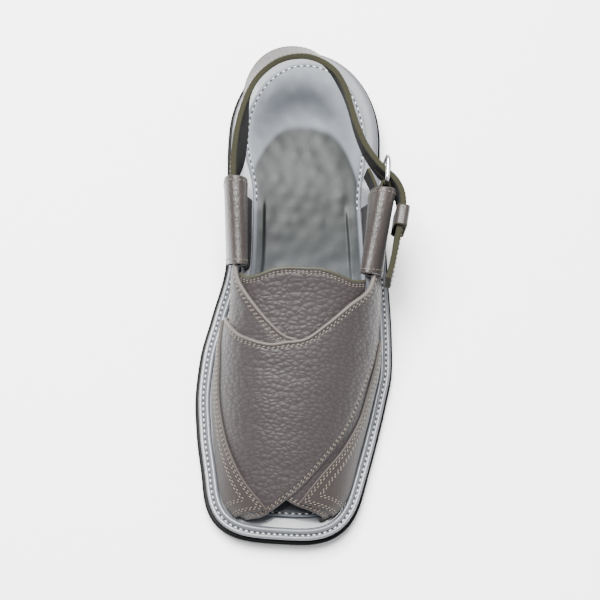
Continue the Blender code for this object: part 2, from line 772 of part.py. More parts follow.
def make_buckle(group, look):
    """A rectangular wire frame standing on edge, with its prong."""
    half = BUCKLE_OPENING / 2 + BUCKLE_WIRE
    corner = 3 * MM
    points = []
    corners = ((BUCKLE_FRONT, 1, 0), (BUCKLE_REAR, 1, 90), (BUCKLE_REAR, -1, 180), (BUCKLE_FRONT, -1, 270))
    for s, up, start in corners:
        centre_s = s - corner if s == BUCKLE_FRONT else s + corner
        for step in range(5):
            turn = math.radians(start + 22.5 * step)
            points.append((BUCKLE_X, HEEL_REST - centre_s - corner * math.cos(turn),
                           BUCKLE_MIDDLE + up * (half - corner) + corner * math.sin(turn)))
    wire("buckle_frame", points, BUCKLE_WIRE, True, group, look)
    start_x = BUCKLE_X + BUCKLE_WIRE + PRONG_RADIUS + GAP
    prong = [(start_x, HEEL_REST - BUCKLE_FRONT - 0.6 * MM, BUCKLE_MIDDLE),
             (start_x + 0.2 * MM, HEEL_REST - BUCKLE_FRONT + 4 * MM, BUCKLE_MIDDLE),
             (start_x + 0.2 * MM, HEEL_REST - BUCKLE_REAR, BUCKLE_MIDDLE),
             (start_x - 0.1 * MM, HEEL_REST - BUCKLE_REAR + 2.4 * MM, BUCKLE_MIDDLE)]
    wire("buckle_prong", prong, PRONG_RADIUS, False, group, look)


def make_chape(group, cutters, look):
    """Leather folded round the buckle's front bar, its two legs in the sleeve."""
    inner = BUCKLE_WIRE + GAP
    points = []
    section = [(inner, CHAPE_LENGTH)]
    for step in range(9):
        turn = math.pi * step / 8
        section.append((inner * math.cos(turn), -inner * math.sin(turn)))
    section.append((-inner, CHAPE_LENGTH))
    for x, forward in section:
        for end in (-0.5, 0.5):
            points.append((BUCKLE_X + x, HEEL_REST - BUCKLE_FRONT - forward, BUCKLE_MIDDLE + CHAPE_WIDTH * end))
    mesh = mesh_from("buckle_chape", points, grid_faces(len(section), 2), closed=False)
    turn_outward(mesh, np.array([BUCKLE_X, HEEL_REST - BUCKLE_FRONT, BUCKLE_MIDDLE]))
    made = add_object("buckle_chape", mesh, group, look)
    add_solidify(made, CHAPE, 1.0)
    slot = box_cutter("chape_slot", (14 * MM, 7 * MM, PRONG_SLOT), BUCKLE_FRONT - 0.5 * MM, cutters)
    add_boolean(made, slot, "DIFFERENCE")


def make_guard(group, look):
    """Leather guard between buckle and foot, held in the sleeve."""
    rows = len(GUARD_ROUTE["row"]) - 1
    count = 3 * rows
    points = []
    for i in range(count + 1):
        key = rows * i / count
        x = route_point(GUARD_ROUTE, "x", key) * MM
        y = HEEL_REST - route_point(GUARD_ROUTE, "s", key) * MM
        for end in (-0.5, 0.5):
            points.append((x, y, BUCKLE_MIDDLE + GUARD_WIDTH * end))
    mesh = mesh_from("buckle_guard", points, grid_faces(count + 1, 2), closed=False)
    made = add_object("buckle_guard", mesh, group, look)
    add_solidify(made, GUARD, 0.0)


def clear_scene():
    for thing in list(bpy.data.objects):
        bpy.data.objects.remove(thing, do_unlink=True)


def main():
    clear_scene()
    shoe = collection("peshawari_chappal")
    cutters = collection("cutters")
    rubber = material("black_rubber", (0.012, 0.012, 0.013), 0.35)
    platform = material("platform_leather", (0.36, 0.37, 0.39), 0.5)
    insole = material("insole_leather", (0.45, 0.47, 0.50), 0.55)
    pebbled = material("pebbled_leather", (0.16, 0.145, 0.14), 0.5)
    smooth = material("smooth_leather", (0.14, 0.125, 0.11), 0.5)
    lining = material("strap_leather", (0.13, 0.12, 0.115), 0.55)
    chrome = material("chromed_wire", (0.75, 0.75, 0.76), 0.18, 1.0)
    make_outsole(shoe, rubber)
    make_heel(shoe, rubber)
    make_platform(shoe, platform)
    make_welt(shoe, platform)
    make_insole(shoe, insole)
    make_upper(shoe, cutters, pebbled)
    make_overlays(shoe, smooth, pebbled)
    make_quarter("quarter_medial", MEDIAL_SLEEVE, MEDIAL, shoe, cutters, smooth)
    make_quarter("quarter_lateral", LATERAL_SLEEVE, LATERAL, shoe, cutters, smooth)
    make_strap(shoe, cutters, lining)
    make_keeper(shoe, smooth)
    make_buckle(shoe, chrome)
    make_chape(shoe, cutters, smooth)
    make_guard(shoe, lining)


main()
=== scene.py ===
"""Left peshawari chappal, dressed: leather, stitching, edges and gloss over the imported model."""
import math

import bmesh
import bpy
import numpy as np
from bpy.props import FloatProperty, FloatVectorProperty, PointerProperty
from mathutils import Matrix, Vector


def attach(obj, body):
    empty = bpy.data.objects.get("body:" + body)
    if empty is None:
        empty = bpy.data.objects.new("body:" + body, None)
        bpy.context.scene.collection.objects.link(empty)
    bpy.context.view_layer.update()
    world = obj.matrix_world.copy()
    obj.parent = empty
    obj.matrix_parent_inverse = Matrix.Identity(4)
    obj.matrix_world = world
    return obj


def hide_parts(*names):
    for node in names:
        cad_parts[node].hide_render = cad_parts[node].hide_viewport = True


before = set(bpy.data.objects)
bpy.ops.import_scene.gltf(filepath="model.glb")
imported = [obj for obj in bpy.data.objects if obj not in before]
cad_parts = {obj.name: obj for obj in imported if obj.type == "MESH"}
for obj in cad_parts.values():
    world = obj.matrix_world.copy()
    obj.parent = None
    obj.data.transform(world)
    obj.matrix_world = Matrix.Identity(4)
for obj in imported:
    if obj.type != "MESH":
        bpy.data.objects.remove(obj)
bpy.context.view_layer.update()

bl_info = {
    "name": "Peshawari chappal",
    "version": (1, 0, 0),
    "blender": (4, 5, 0),
    "location": "3D View > Sidebar > Chappal",
    "description": "Models and finishes the pieces of a left peshawari chappal",
    "category": "Add Mesh",
}

MM = 0.001

# Sizes of the shoe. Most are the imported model's; the strap, the sleeves and some edges follow the photo more
# closely and lie a few millimetres off the model's.
LENGTH = 290 * MM
BALL_WIDTH = 110 * MM
HEEL_REST = 40 * MM
HEEL_RISE = 12 * MM
TOE_SPRING = 6 * MM
OUTSOLE = 7 * MM
OUTSOLE_FLANGE = 1.9 * MM
TOE_FLANGE = 0.6 * MM
PLATFORM = 4 * MM
GAP = 0.3 * MM
HEEL_ROUND = 54 * MM
HEEL_POWER = 2.0
TOE_ROUND = 35 * MM
TOE_POWER = 3.4
WELT_START = 88 * MM
WELT_STRIP = 1.4 * MM
BEAD_CENTRE = 5.0 * MM
BEAD_RADIUS = 1.7 * MM
BEAD_LIFT = 1.5 * MM
INSOLE = 2.6 * MM
INSOLE_HEEL_INSET = 7.5 * MM
INSOLE_FORE_INSET = 12.9 * MM
INSOLE_STEP_START = 58 * MM
INSOLE_STEP_END = 93 * MM
INSTEP = 66 * MM
MEDIAL_INSET = 11.3 * MM
LATERAL_INSET = 10.2 * MM
LAST_TOE_INSET = 10 * MM
LAST_TOE_ROUND = 29 * MM
FOOT_LIFT = 0.8 * MM
UNDER_FLAP = 1.6 * MM
OVER_FLAP = 1.8 * MM
OVER_FLAP_SEAT = 1.0 * MM
BAND = 1.4 * MM
REAR_SEAM = 2.4 * MM
UNDER_REAR_SEAM = 2.7 * MM
FRONT_SEAM = 1.7 * MM
BAND_SEAM = 1.5 * MM
BAND_SECOND_SEAM = (4.4 * MM, 6.6 * MM)
INSOLE_SEAM = 1.9 * MM
TONGUE = 2.0 * MM
QUARTER_HEIGHT = 60 * MM
QUARTER_INSET = 10.4 * MM
QUARTER_BLADE = 4.0 * MM
QUARTER_FOOT_REAR = 94 * MM
QUARTER_FOOT_FRONT = 134 * MM
QUARTER_TOP_REAR = 98 * MM
QUARTER_TOP_FRONT = 146 * MM
SLEEVE_WALL = 1.8 * MM
SLEEVE_SLOT_LOW = 31 * MM
SLEEVE_SLOT_HIGH = 57.5 * MM
STRAP_WIDTH = 23 * MM
STRAP = 3.2 * MM
STRAP_SEAM = 2.0 * MM
PUNCHED_HOLES = (121 * MM, 130 * MM, 139 * MM)
HOLE_RADIUS = 1.5 * MM
KEEPER_START = 106 * MM
KEEPER_LENGTH = 12 * MM
KEEPER_WALL = 1.8 * MM
BUCKLE_WIRE = 1.2 * MM
BUCKLE_REAR = 79 * MM
BUCKLE_FRONT = 94 * MM
BUCKLE_X = 43.6 * MM
BUCKLE_MIDDLE = 65 * MM
BUCKLE_OPENING = 25.4 * MM
BUCKLE_CORNER = 3 * MM
PRONG_RADIUS = 0.9 * MM
PRONG_SLOT = 2.8 * MM
SLOT_DEPTH = 14 * MM
STRAP_SLOT = 13 * MM
CHAPE_SLOT = 7 * MM
CHAPE = 1.4 * MM
CHAPE_WIDTH = 14 * MM
CHAPE_LENGTH = 12 * MM
GUARD = 1.8 * MM
GUARD_WIDTH = 17 * MM
MEDIAL = -1
LATERAL = 1


def table(columns, *rows):
    """A table as named columns; the first column is its key."""
    return {name: np.array([row[i] for row in rows], float) for i, name in enumerate(columns.split())}


PLAN = table("share medial lateral",
             (0.00, 0.391, 0.392), (0.20, 0.393, 0.400), (0.33, 0.373, 0.440), (0.45, 0.359, 0.483),
             (0.57, 0.418, 0.523), (0.65, 0.460, 0.534), (0.72, 0.470, 0.509), (0.80, 0.450, 0.469),
             (0.90, 0.400, 0.409), (1.00, 0.364, 0.345))
SOLE_LINE = table("share heel toe",
                  (0.00, 1.00, 0.0), (0.26, 1.00, 0.0), (0.37, 0.66, 0.0), (0.48, 0.20, 0.0),
                  (0.57, 0.00, 0.0), (0.75, 0.00, 0.0), (0.87, 0.00, 0.3), (1.00, 0.00, 1.0))
LAST = table("share height inset power bulge_medial bulge_lateral ridge",
             (0.42, 1.04, 1.00, 4.20, 0.118, 0.000, -0.010),
             (0.50, 1.00, 1.00, 3.80, 0.118, 0.000, -0.018),
             (0.55, 0.93, 1.00, 3.30, 0.082, 0.009, -0.027),
             (0.61, 0.84, 1.00, 2.80, 0.045, 0.009, -0.036),
             (0.69, 0.73, 1.00, 2.45, 0.009, 0.000, -0.045),
             (0.75, 0.65, 1.00, 2.25, 0.000, 0.000, -0.045),
             (0.81, 0.55, 1.00, 2.10, 0.000, 0.000, -0.036),
             (0.88, 0.41, 0.95, 2.00, 0.000, 0.000, -0.018),
             (0.93, 0.29, 0.90, 2.00, 0.000, 0.000, -0.009),
             (0.975, 0.14, 0.85, 2.00, 0.000, 0.000, 0.000),
             (1.00, 0.06, 0.85, 2.00, 0.000, 0.000, 0.000))
OVER_EDGES = table("along rear rear_girth front front_girth",
                   (0.00, 0.570, -1.00, 0.960, -1.00), (0.08, 0.585, -0.80, 0.957, -0.38),
                   (0.18, 0.605, -0.58, 0.945, -0.14), (0.30, 0.629, -0.36, 0.916, 0.09),
                   (0.45, 0.643, -0.10, 0.856, 0.34), (0.58, 0.633, 0.03, 0.770, 0.56),
                   (0.70, 0.600, 0.14, 0.680, 0.64), (0.82, 0.560, 0.27, 0.600, 0.69),
                   (0.91, 0.523, 0.46, 0.540, 0.72), (1.00, 0.478, 0.57, 0.478, 0.75))
UNDER_EDGES = table("along rear rear_girth front front_girth",
                    (0.00, 0.597, 1.00, 0.958, 1.00), (0.12, 0.608, 0.78, 0.946, 0.45),
                    (0.25, 0.640, 0.52, 0.928, 0.05), (0.42, 0.650, 0.13, 0.860, -0.18),
                    (0.56, 0.633, 0.015, 0.760, -0.38), (0.70, 0.605, -0.10, 0.670, -0.54),
                    (0.82, 0.563, -0.27, 0.590, -0.66), (0.91, 0.525, -0.44, 0.540, -0.68),
                    (1.00, 0.484, -0.54, 0.484, -0.74))
TONGUE_EDGES = table("along rear rear_girth front front_girth",
                     (0.00, 0.516, -0.48, 0.585, -0.46), (0.14, 0.526, -0.30, 0.605, -0.32),
                     (0.28, 0.523, -0.18, 0.625, -0.20), (0.42, 0.510, -0.04, 0.640, -0.08),
                     (0.56, 0.504, 0.03, 0.645, 0.04), (0.70, 0.511, 0.14, 0.635, 0.16),
                     (0.86, 0.519, 0.30, 0.610, 0.31), (1.00, 0.513, 0.46, 0.585, 0.45))
MEDIAL_BAND_EDGES = table("along rear rear_girth front front_girth",
                          (0.00, 0.590, -0.93, 0.590, -0.79), (0.20, 0.665, -0.93, 0.661, -0.73),
                          (0.40, 0.745, -0.93, 0.740, -0.70), (0.60, 0.820, -0.93, 0.808, -0.63),
                          (0.80, 0.897, -0.92, 0.879, -0.47), (1.00, 0.954, -0.92, 0.942, -0.19))
LATERAL_BAND_EDGES = table("along rear rear_girth front front_girth",
                           (0.00, 0.605, 0.76, 0.605, 0.93), (0.20, 0.655, 0.70, 0.665, 0.93),
                           (0.40, 0.745, 0.68, 0.755, 0.93), (0.60, 0.813, 0.56, 0.830, 0.93),
                           (0.80, 0.880, 0.33, 0.900, 0.92), (1.00, 0.928, 0.17, 0.945, 0.84))
MEDIAL_SLEEVE = table("share low high half",
                      (0.0, -0.0396, -0.0398, 0.0066), (1.0, -0.0366, -0.0346, 0.0054))
LATERAL_SLEEVE = table("share low high half",
                       (0.0, 0.0425, 0.0428, 0.0070), (1.0, 0.0426, 0.0362, 0.0058))
QUARTER_SECTION = table("height swell", (0.0, 0.0), (0.22, 0.0), (0.42, 0.12), (0.53, 0.82), (0.66, 1.0),
                        (0.80, 1.0), (0.93, 0.86), (0.985, 0.45))

# Route of the strap's top edge in millimetres, and its lean in degrees
STRAP_ROUTE = table("row s x top lean",
                    (0, 122, -39.1, 73.4, 0), (1, 100, -41.2, 76.8, 0), (2, 84, -42.0, 78.6, 13),
                    (3, 68, -40.8, 79.8, 13), (4, 54, -37.6, 80.4, 4), (5, 42, -32.4, 80.4, -14),
                    (6, 33, -24.8, 80.0, -28), (7, 27.5, -16.0, 79.5, -34), (8, 25.4, -5.1, 79.0, -31),
                    (9, 27.8, 4.6, 78.8, -20), (10, 33.2, 12.3, 78.6, -11), (11, 42, 17.8, 78.3, -9),
                    (12, 50.4, 20.9, 78.1, -9), (13, 61.8, 25.0, 77.9, -8), (14, 73.8, 31.0, 77.5, -7),
                    (15, 84, 39.4, 77.0, -5), (16, 91, 47.9, 76.6, -3), (17, 97.5, 52.2, 76.2, -2),
                    (18, 104.5, 53.6, 75.8, -2), (19, 112, 53.2, 75.3, -3), (20, 120, 52.0, 74.5, -4),
                    (21, 129, 50.8, 73.5, -5), (22, 138, 49.4, 72.2, -6), (23, 147, 47.8, 70.8, -6))
STRAP_BUCKLE_ROW = 15
GUARD_ROUTE = table("row s x", (0, 110, 39.4), (1, 104, 39.2), (2, 98, 38.8), (3, 92, 36.6), (4, 86, 33.4))


# Colours and sizes that a user would change

def linear(code):
    """An sRGB hex colour as linear values."""
    values = [int(code[i:i + 2], 16) / 255 for i in (1, 3, 5)]
    return [v / 12.92 if v <= 0.04045 else ((v + 0.055) / 1.055) ** 2.4 for v in values]


def colour(name, description, code):
    return FloatVectorProperty(name=name, description=description, subtype="COLOR", size=3, min=0, max=1,
                               default=linear(code))


def length(name, description, value):
    return FloatProperty(name=name, description=description, subtype="DISTANCE", unit="LENGTH",
                         default=value, min=0)


class ChappalColours(bpy.types.PropertyGroup):
    """Colours of the leathers, threads, rubber and floor."""
    pebbled: colour("Pebbled leather", "Milled leather of the flaps and the tongue", "#2c2727")
    smooth: colour("Smooth leather", "Bands, quarters and keeper", "#2b2624")
    edge: colour("Folded edge", "Lighter rub along a folded edge", "#524d48")
    raw_edge: colour("Raw edge", "Cut edge of the strap and the tongue", "#25241a")
    lining: colour("Lining", "Black lining of the strap", "#020202")
    insole: colour("Insole", "Insole leather", "#5e6268")
    # The arch colour paints a shadow on the insole ahead of the heel
    arch: colour("Arch pad", "Painted shadow over the insole", "#080809")
    welt: colour("Welt", "Welt strip, bead and platform edge", "#4b4d52")
    rubber: colour("Rubber", "Outsole and heel", "#020202")
    beige_thread: colour("Beige thread", "Thread of the upper", "#5d564b")
    white_thread: colour("White thread", "Thread of welt and insole", "#bcbebd")
    hole: colour("Needle hole", "Shadowed needle hole", "#1d1e1f")
    chrome: colour("Chromed wire", "Buckle frame and prong", "#c9c9cb")
    floor: colour("Floor", "Studio floor", "#fbfbfb")


class ChappalSizes(bpy.types.PropertyGroup):
    """Sizes of the stitching, the grain and the creases."""
    upper_pitch: length("Upper stitch pitch", "From stitch to stitch on the upper", 2.65 * MM)
    upper_stitch: length("Upper stitch length", "Shown length of a stitch on the upper", 1.75 * MM)
    upper_thread: length("Upper thread", "Radius of the upper's thread", 0.29 * MM)
    welt_pitch: length("Welt stitch pitch", "From stitch to stitch on the welt", 3.18 * MM)
    insole_pitch: length("Insole stitch pitch", "From stitch to stitch on the insole", 3.85 * MM)
    sole_stitch: length("Sole stitch length", "Shown length of a stitch on welt and insole", 1.7 * MM)
    sole_thread: length("Sole thread", "Radius of the sole's thread", 0.5 * MM)
    row_gap: length("Row gap", "From one row of a double seam to the other", 1.1 * MM)
    pebble_across: length("Pebble width", "Pebble's size across the shoe", 3.6 * MM)
    pebble_along: length("Pebble length", "Pebble's size along the shoe", 2.1 * MM)
    bump_pitch: length("Insole bump pitch", "From one soft bump of the insole to the next", 9.2 * MM)
    bump_height: length("Insole bump height", "Height of the insole's soft pattern", 0.5 * MM)


def colours():
    return bpy.context.scene.chappal_colours


def sizes():
    return bpy.context.scene.chappal_sizes


# The sole's outline and the last

def slopes(x, y):
    step = np.diff(y) / np.diff(x)
    slope = np.zeros_like(y)
    slope[0], slope[-1] = step[0], step[-1]
    for i in range(1, len(x) - 1):
        if step[i - 1] * step[i] > 0:
            slope[i] = 2 * step[i - 1] * step[i] / (step[i - 1] + step[i])
    return slope


def sample(rows, column, key):
    """Smooth values of a column at keys, held level past both ends."""
    x = next(iter(rows.values()))
    y = rows[column]
    slope = slopes(x, y)
    key = np.clip(key, x[0], x[-1])
    i = np.clip(np.searchsorted(x, key) - 1, 0, len(x) - 2)
    span = x[i + 1] - x[i]
    t = (key - x[i]) / span
    rise = y[i] * (1 + 2 * t) * (1 - t) ** 2 + y[i + 1] * t * t * (3 - 2 * t)
    return rise + span * (slope[i] * t * (1 - t) ** 2 + slope[i + 1] * t * t * (t - 1))


def route_point(rows, column, key):
    """Values on a round curve through a route's rows."""
    y = rows[column]
    i = np.clip(np.asarray(key).astype(int), 0, len(y) - 2)
    t = key - i
    before = y[np.maximum(i - 1, 0)]
    after = y[np.minimum(i + 2, len(y) - 1)]
    return (y[i] * (1 + 2 * t) * (1 - t) ** 2 + y[i + 1] * t * t * (3 - 2 * t)
            + (y[i + 1] - before) / 2 * t * (1 - t) ** 2 + (after - y[i]) / 2 * t * t * (t - 1))


def smooth_step(value, low, high):
    t = np.clip((value - low) / (high - low), 0, 1)
    return t * t * (3 - 2 * t)


def sole_line(s):
    share = s / LENGTH
    return HEEL_RISE * sample(SOLE_LINE, "heel", share) + TOE_SPRING * sample(SOLE_LINE, "toe", share)


def deck(s):
    """Height of the platform's top."""
    return sole_line(s) + OUTSOLE + GAP + PLATFORM


def half_width(s, side):
    return sample(PLAN, "medial" if side == MEDIAL else "lateral", s / LENGTH) * BALL_WIDTH


def end_rounding(s, toe_end, toe_round):
    rear = np.clip(1 - s / HEEL_ROUND, 0, 1)
    front = np.clip(1 - (toe_end - s) / toe_round, 0, 1)
    return (1 - rear ** HEEL_POWER) ** (1 / HEEL_POWER) * (1 - front ** TOE_POWER) ** (1 / TOE_POWER)


def outline(station, side):
    s = LENGTH * (1 - np.cos(np.pi * station)) / 2
    return np.stack([s, side * half_width(s, side) * end_rounding(s, LENGTH, TOE_ROUND)], -1)


def rim(station, side, inset):
    """Outline points moved inward by the inset, square to the outline."""
    step = 0.002
    along = outline(np.minimum(station + step, 1), side) - outline(np.maximum(station - step, 0), side)
    along /= np.linalg.norm(along, axis=-1, keepdims=True)
    inward = np.stack([along[..., 1], -along[..., 0]], -1) * side
    moved = outline(station, side) + np.asarray(inset)[..., None] * inward
    rear = np.stack([inset + 0 * station, 0 * station], -1)
    front = np.stack([LENGTH - inset + 0 * station, 0 * station], -1)
    moved = np.where((station <= 0)[..., None], rear, moved)
    return np.where((station >= 1)[..., None], front, moved)


def station_of(s):
    return math.acos(1 - 2 * s / LENGTH) / math.pi


def feather(s, side):
    """Foot line of the last at s."""
    inset = (MEDIAL_INSET if side == MEDIAL else LATERAL_INSET) * sample(LAST, "inset", s / LENGTH)
    return side * (half_width(s, side) - inset) * end_rounding(s, LENGTH - LAST_TOE_INSET, LAST_TOE_ROUND)


def last_point(s, girth):
    share = s / LENGTH
    medial = girth < 0
    power = sample(LAST, "power", share)
    bulge = BALL_WIDTH * np.where(medial, sample(LAST, "bulge_medial", share),
                                  sample(LAST, "bulge_lateral", share))
    ridge = BALL_WIDTH * sample(LAST, "ridge", share)
    angle = (1 - np.abs(girth)) * np.pi / 2
    across = np.cos(angle) ** (2 / power)
    rise = np.sin(angle) ** (2 / power)
    foot = np.where(medial, feather(s, MEDIAL), feather(s, LATERAL))
    x = ridge + (foot - ridge) * across + np.where(medial, -1, 1) * bulge * rise * np.sqrt(across)
    return np.stack([x, HEEL_REST - s, deck(s) + FOOT_LIFT + INSTEP * sample(LAST, "height", share) * rise], -1)


def unit(vectors):
    return vectors / np.linalg.norm(vectors, axis=-1, keepdims=True)


def last_normal(s, girth):
    step_s = 0.5 * MM
    step_g = 0.01
    low = np.maximum(girth - step_g, -1.0)
    high = np.minimum(girth + step_g, 1.0)
    across = last_point(s, high) - last_point(s, low)
    along = last_point(s + step_s, girth) - last_point(s - step_s, girth)
    return unit(np.cross(along, across))


# Mesh helpers

def add_piece(name, points, faces, finishes, uv=None, marks=None, finish_of=None):
    """A smooth mesh object that rides on the shoe. Marks are values that its finish reads at each point."""
    mesh = bpy.data.meshes.new(name)
    mesh.from_pydata(np.asarray(points).tolist(), [], [tuple(int(k) for k in f) for f in faces])
    for look in finishes:
        mesh.materials.append(look)
    if finish_of is not None:
        mesh.polygons.foreach_set("material_index", np.asarray(finish_of, np.int32))
    for mark, values in (marks or {}).items():
        layer = mesh.attributes.new(mark, "FLOAT", "POINT")
        layer.data.foreach_set("value", np.asarray(values, np.float32).ravel())
    if uv is not None:
        corners = np.empty(len(mesh.loops), np.int32)
        mesh.loops.foreach_get("vertex_index", corners)
        mesh.uv_layers.new(name="pattern").data.foreach_set(
            "uv", np.asarray(uv, np.float32).reshape(-1, 2)[corners].ravel())
    mesh.shade_smooth()
    made = bpy.data.objects.new(name, mesh)
    bpy.context.scene.collection.objects.link(made)
    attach(made, "root")
    return made


def sharpen(thing, degrees):
    """Keeps the edges that are sharper than an angle crisp."""
    thing.data.set_sharp_from_angle(angle=math.radians(degrees))


def choose(thing):
    """Leaves one object selected and active."""
    if bpy.context.object and bpy.context.object.mode != "OBJECT":
        bpy.ops.object.mode_set(mode="OBJECT")
    bpy.ops.object.select_all(action="DESELECT")
    thing.select_set(True)
    bpy.context.view_layer.objects.active = thing


def face_outward(thing):
    """Turns every face of a closed mesh outward."""
    work = bmesh.new()
    work.from_mesh(thing.data)
    bmesh.ops.recalc_face_normals(work, faces=work.faces)
    work.to_mesh(thing.data)
    work.free()


def box(middle, size):
    """A box to cut with."""
    bpy.ops.object.select_all(action="DESELECT")
    bpy.ops.mesh.primitive_cube_add(size=1, location=middle)
    bpy.ops.object.mode_set(mode="EDIT")
    bpy.ops.transform.resize(value=size)
    bpy.ops.object.mode_set(mode="OBJECT")
    return bpy.context.object


def cut_away(thing, cutter):
    """Cuts one object out of another and removes it."""
    choose(thing)
    cut = thing.modifiers.new("cut", "BOOLEAN")
    cut.object = cutter
    cut.solver = "EXACT"
    bpy.ops.object.modifier_apply(modifier=cut.name)
    bpy.data.objects.remove(cutter)


def arc_length(points):
    """Distance along a path up to each of its points."""
    return np.concatenate([[0], np.cumsum(np.linalg.norm(np.diff(points, axis=0), axis=1))])


def quads(index):
    """Faces of a grid of point numbers."""
    a, b, c, d = index[:-1, :-1], index[1:, :-1], index[1:, 1:], index[:-1, 1:]
    return np.stack([a, b, c, d], -1).reshape(-1, 4)


def plate(name, levels, look, stations=150, across=26, swell=None, marks=None):
    """A plate of the shoe's outline through levels of inset and height, with gridded top and bottom."""
    station = np.linspace(0, 1, stations + 1)
    points = []
    rings = []
    for inset, height in levels:
        s = outline(station, MEDIAL)[:, 0]
        sides = [rim(station, side, inset(s)) for side in (MEDIAL, LATERAL)]
        ring = np.concatenate([sides[0], sides[1][-2:0:-1]])
        level = np.concatenate([height(s), height(s)[-2:0:-1]])
        rings.append(np.arange(len(ring)) + len(points) * len(ring))
        points.append(np.column_stack([ring[:, 1], HEEL_REST - ring[:, 0], level]))
    count = len(points[0])
    faces = []
    for low, high in zip(rings, rings[1:]):
        nxt = np.roll(np.arange(count), -1)
        faces += np.stack([low, low[nxt], high[nxt], high], -1).tolist()
    total = count * len(levels)
    for place, ring in ((0, rings[0]), (-1, rings[-1])):
        inset, height = levels[place]
        left = ring[1:stations]
        right = ring[:stations:-1]
        flat = np.concatenate(points)
        share = np.linspace(0, 1, across + 1)[1:-1]
        inner = flat[left][:, None] + (flat[right] - flat[left])[:, None] * share[None, :, None]
        inner[..., 2] = height(HEEL_REST - inner[..., 1])
        number = total + np.arange(inner.shape[0] * inner.shape[1]).reshape(inner.shape[:2])
        total += number.size
        points.append(inner.reshape(-1, 3))
        index = np.column_stack([left, number, right])
        cap = quads(index).tolist()
        for row, tip in ((index[0], ring[0]), (index[-1], ring[stations])):
            fan = [(row[k], row[k + 1], tip) for k in range(len(row) - 1)]
            cap += fan if tip == ring[0] else [f[::-1] for f in fan]
        faces += [f[::-1] for f in cap] if place == 0 else cap
    points = np.concatenate(points)
    if swell:
        points[:, 2] += swell(points)
    made = add_piece(name, points, faces, [look], uv=points[:, :2] / MM, marks=marks(points) if marks else None)
    face_outward(made)
    return made


def stitch_shape(size):
    """One stitch, modelled as a small ball drawn out along the seam: its points and faces."""
    bpy.ops.object.select_all(action="DESELECT")
    bpy.ops.mesh.primitive_uv_sphere_add(segments=6, ring_count=5, radius=1)
    ball = bpy.context.object
    bpy.ops.object.mode_set(mode="EDIT")
    bpy.ops.mesh.select_all(action="SELECT")
    bpy.ops.transform.resize(value=size)
    bpy.ops.object.mode_set(mode="OBJECT")
    points = np.array([v.co for v in ball.data.vertices])
    faces = [np.array(f.vertices) for f in ball.data.polygons]
    bpy.data.objects.remove(ball)
    return points, faces


def seam_places(path, normals, pitch, start):
    """Even places along a seam: points, directions and normals."""
    run = arc_length(path)
    count = int(run[-1] / pitch)
    if count < 1:
        return (np.empty((0, 3)),) * 3
    at = (np.arange(count) + start) * run[-1] / count
    pick = lambda values, key: np.column_stack([np.interp(key, run, values[:, k]) for k in range(3)])
    point = pick(path, at)
    normal = unit(pick(normals, at))
    ahead = unit(pick(path, np.minimum(at + pitch / 3, run[-1])) - pick(path, np.maximum(at - pitch / 3, 0)))
    normal = unit(normal - ahead * np.sum(normal * ahead, axis=1, keepdims=True))
    return point, ahead, normal


def sew(name, seams, pitch, stitch, thread, look, holes=None, turn=0.0):
    """Stitches along seams, each a copy of one stitch, turned a little off the seam; holes lie between. A batch
    has a half length, half width and height, its place in the pitch, its rise as a share of the height and its
    finish."""
    batches = [(stitch / 2, thread, thread, 0.5, 0.25, look)]
    if holes:
        batches.append(((pitch - stitch) * 0.44, thread, thread * 0.5, 0.0, 0.4, holes))
    for half, wide, high, start, rise, finish in batches:
        shape, shape_faces = stitch_shape((half, wide, high))
        points = []
        faces = []
        for path, normals in seams:
            for point, ahead, normal in zip(*seam_places(path, normals, pitch, start)):
                side = np.cross(normal, ahead)
                forward = ahead * math.cos(turn) + side * math.sin(turn)
                basis = np.array([forward, np.cross(normal, forward), normal])
                faces += [f + len(points) * len(shape) for f in shape_faces]
                points.append(point + normal * high * rise + shape @ basis)
        title = name if finish is look else name + "_holes"
        add_piece(title, np.concatenate(points), faces, [finish])


# Leather patches on the last

EDGE_STEPS = np.array([0, 0.15, 0.35, 0.6, 0.9, 1.25, 1.6, 2.0, 2.4, 2.8, 3.2, 3.7, 4.2, 4.8, 5.5, 6.4]) * MM


def girth_arc(s, girth):
    """Distance over the last from the crown line to a girth share."""
    places = np.linspace(0.42, 1.0, 40) * LENGTH
    shares = np.linspace(-1, 1, 161)
    rows = last_point(places[:, None] + 0 * shares, shares[None, :] + 0 * places[:, None])
    run = np.cumsum(np.linalg.norm(np.diff(rows, axis=1), axis=2), axis=1)
    run = np.concatenate([np.zeros((len(places), 1)), run], 1)
    run -= run[:, len(shares) // 2, None]
    i = np.clip((s - places[0]) / (places[1] - places[0]), 0, len(places) - 1.001)
    j = np.clip((girth + 1) / (shares[1] - shares[0]), 0, len(shares) - 1.001)
    k, m = i.astype(int), j.astype(int)
    low = run[k, m] * (1 - j + m) + run[k, m + 1] * (j - m)
    high = run[k + 1, m] * (1 - j + m) + run[k + 1, m + 1] * (j - m)
    return low * (1 - i + k) + high * (i - k)


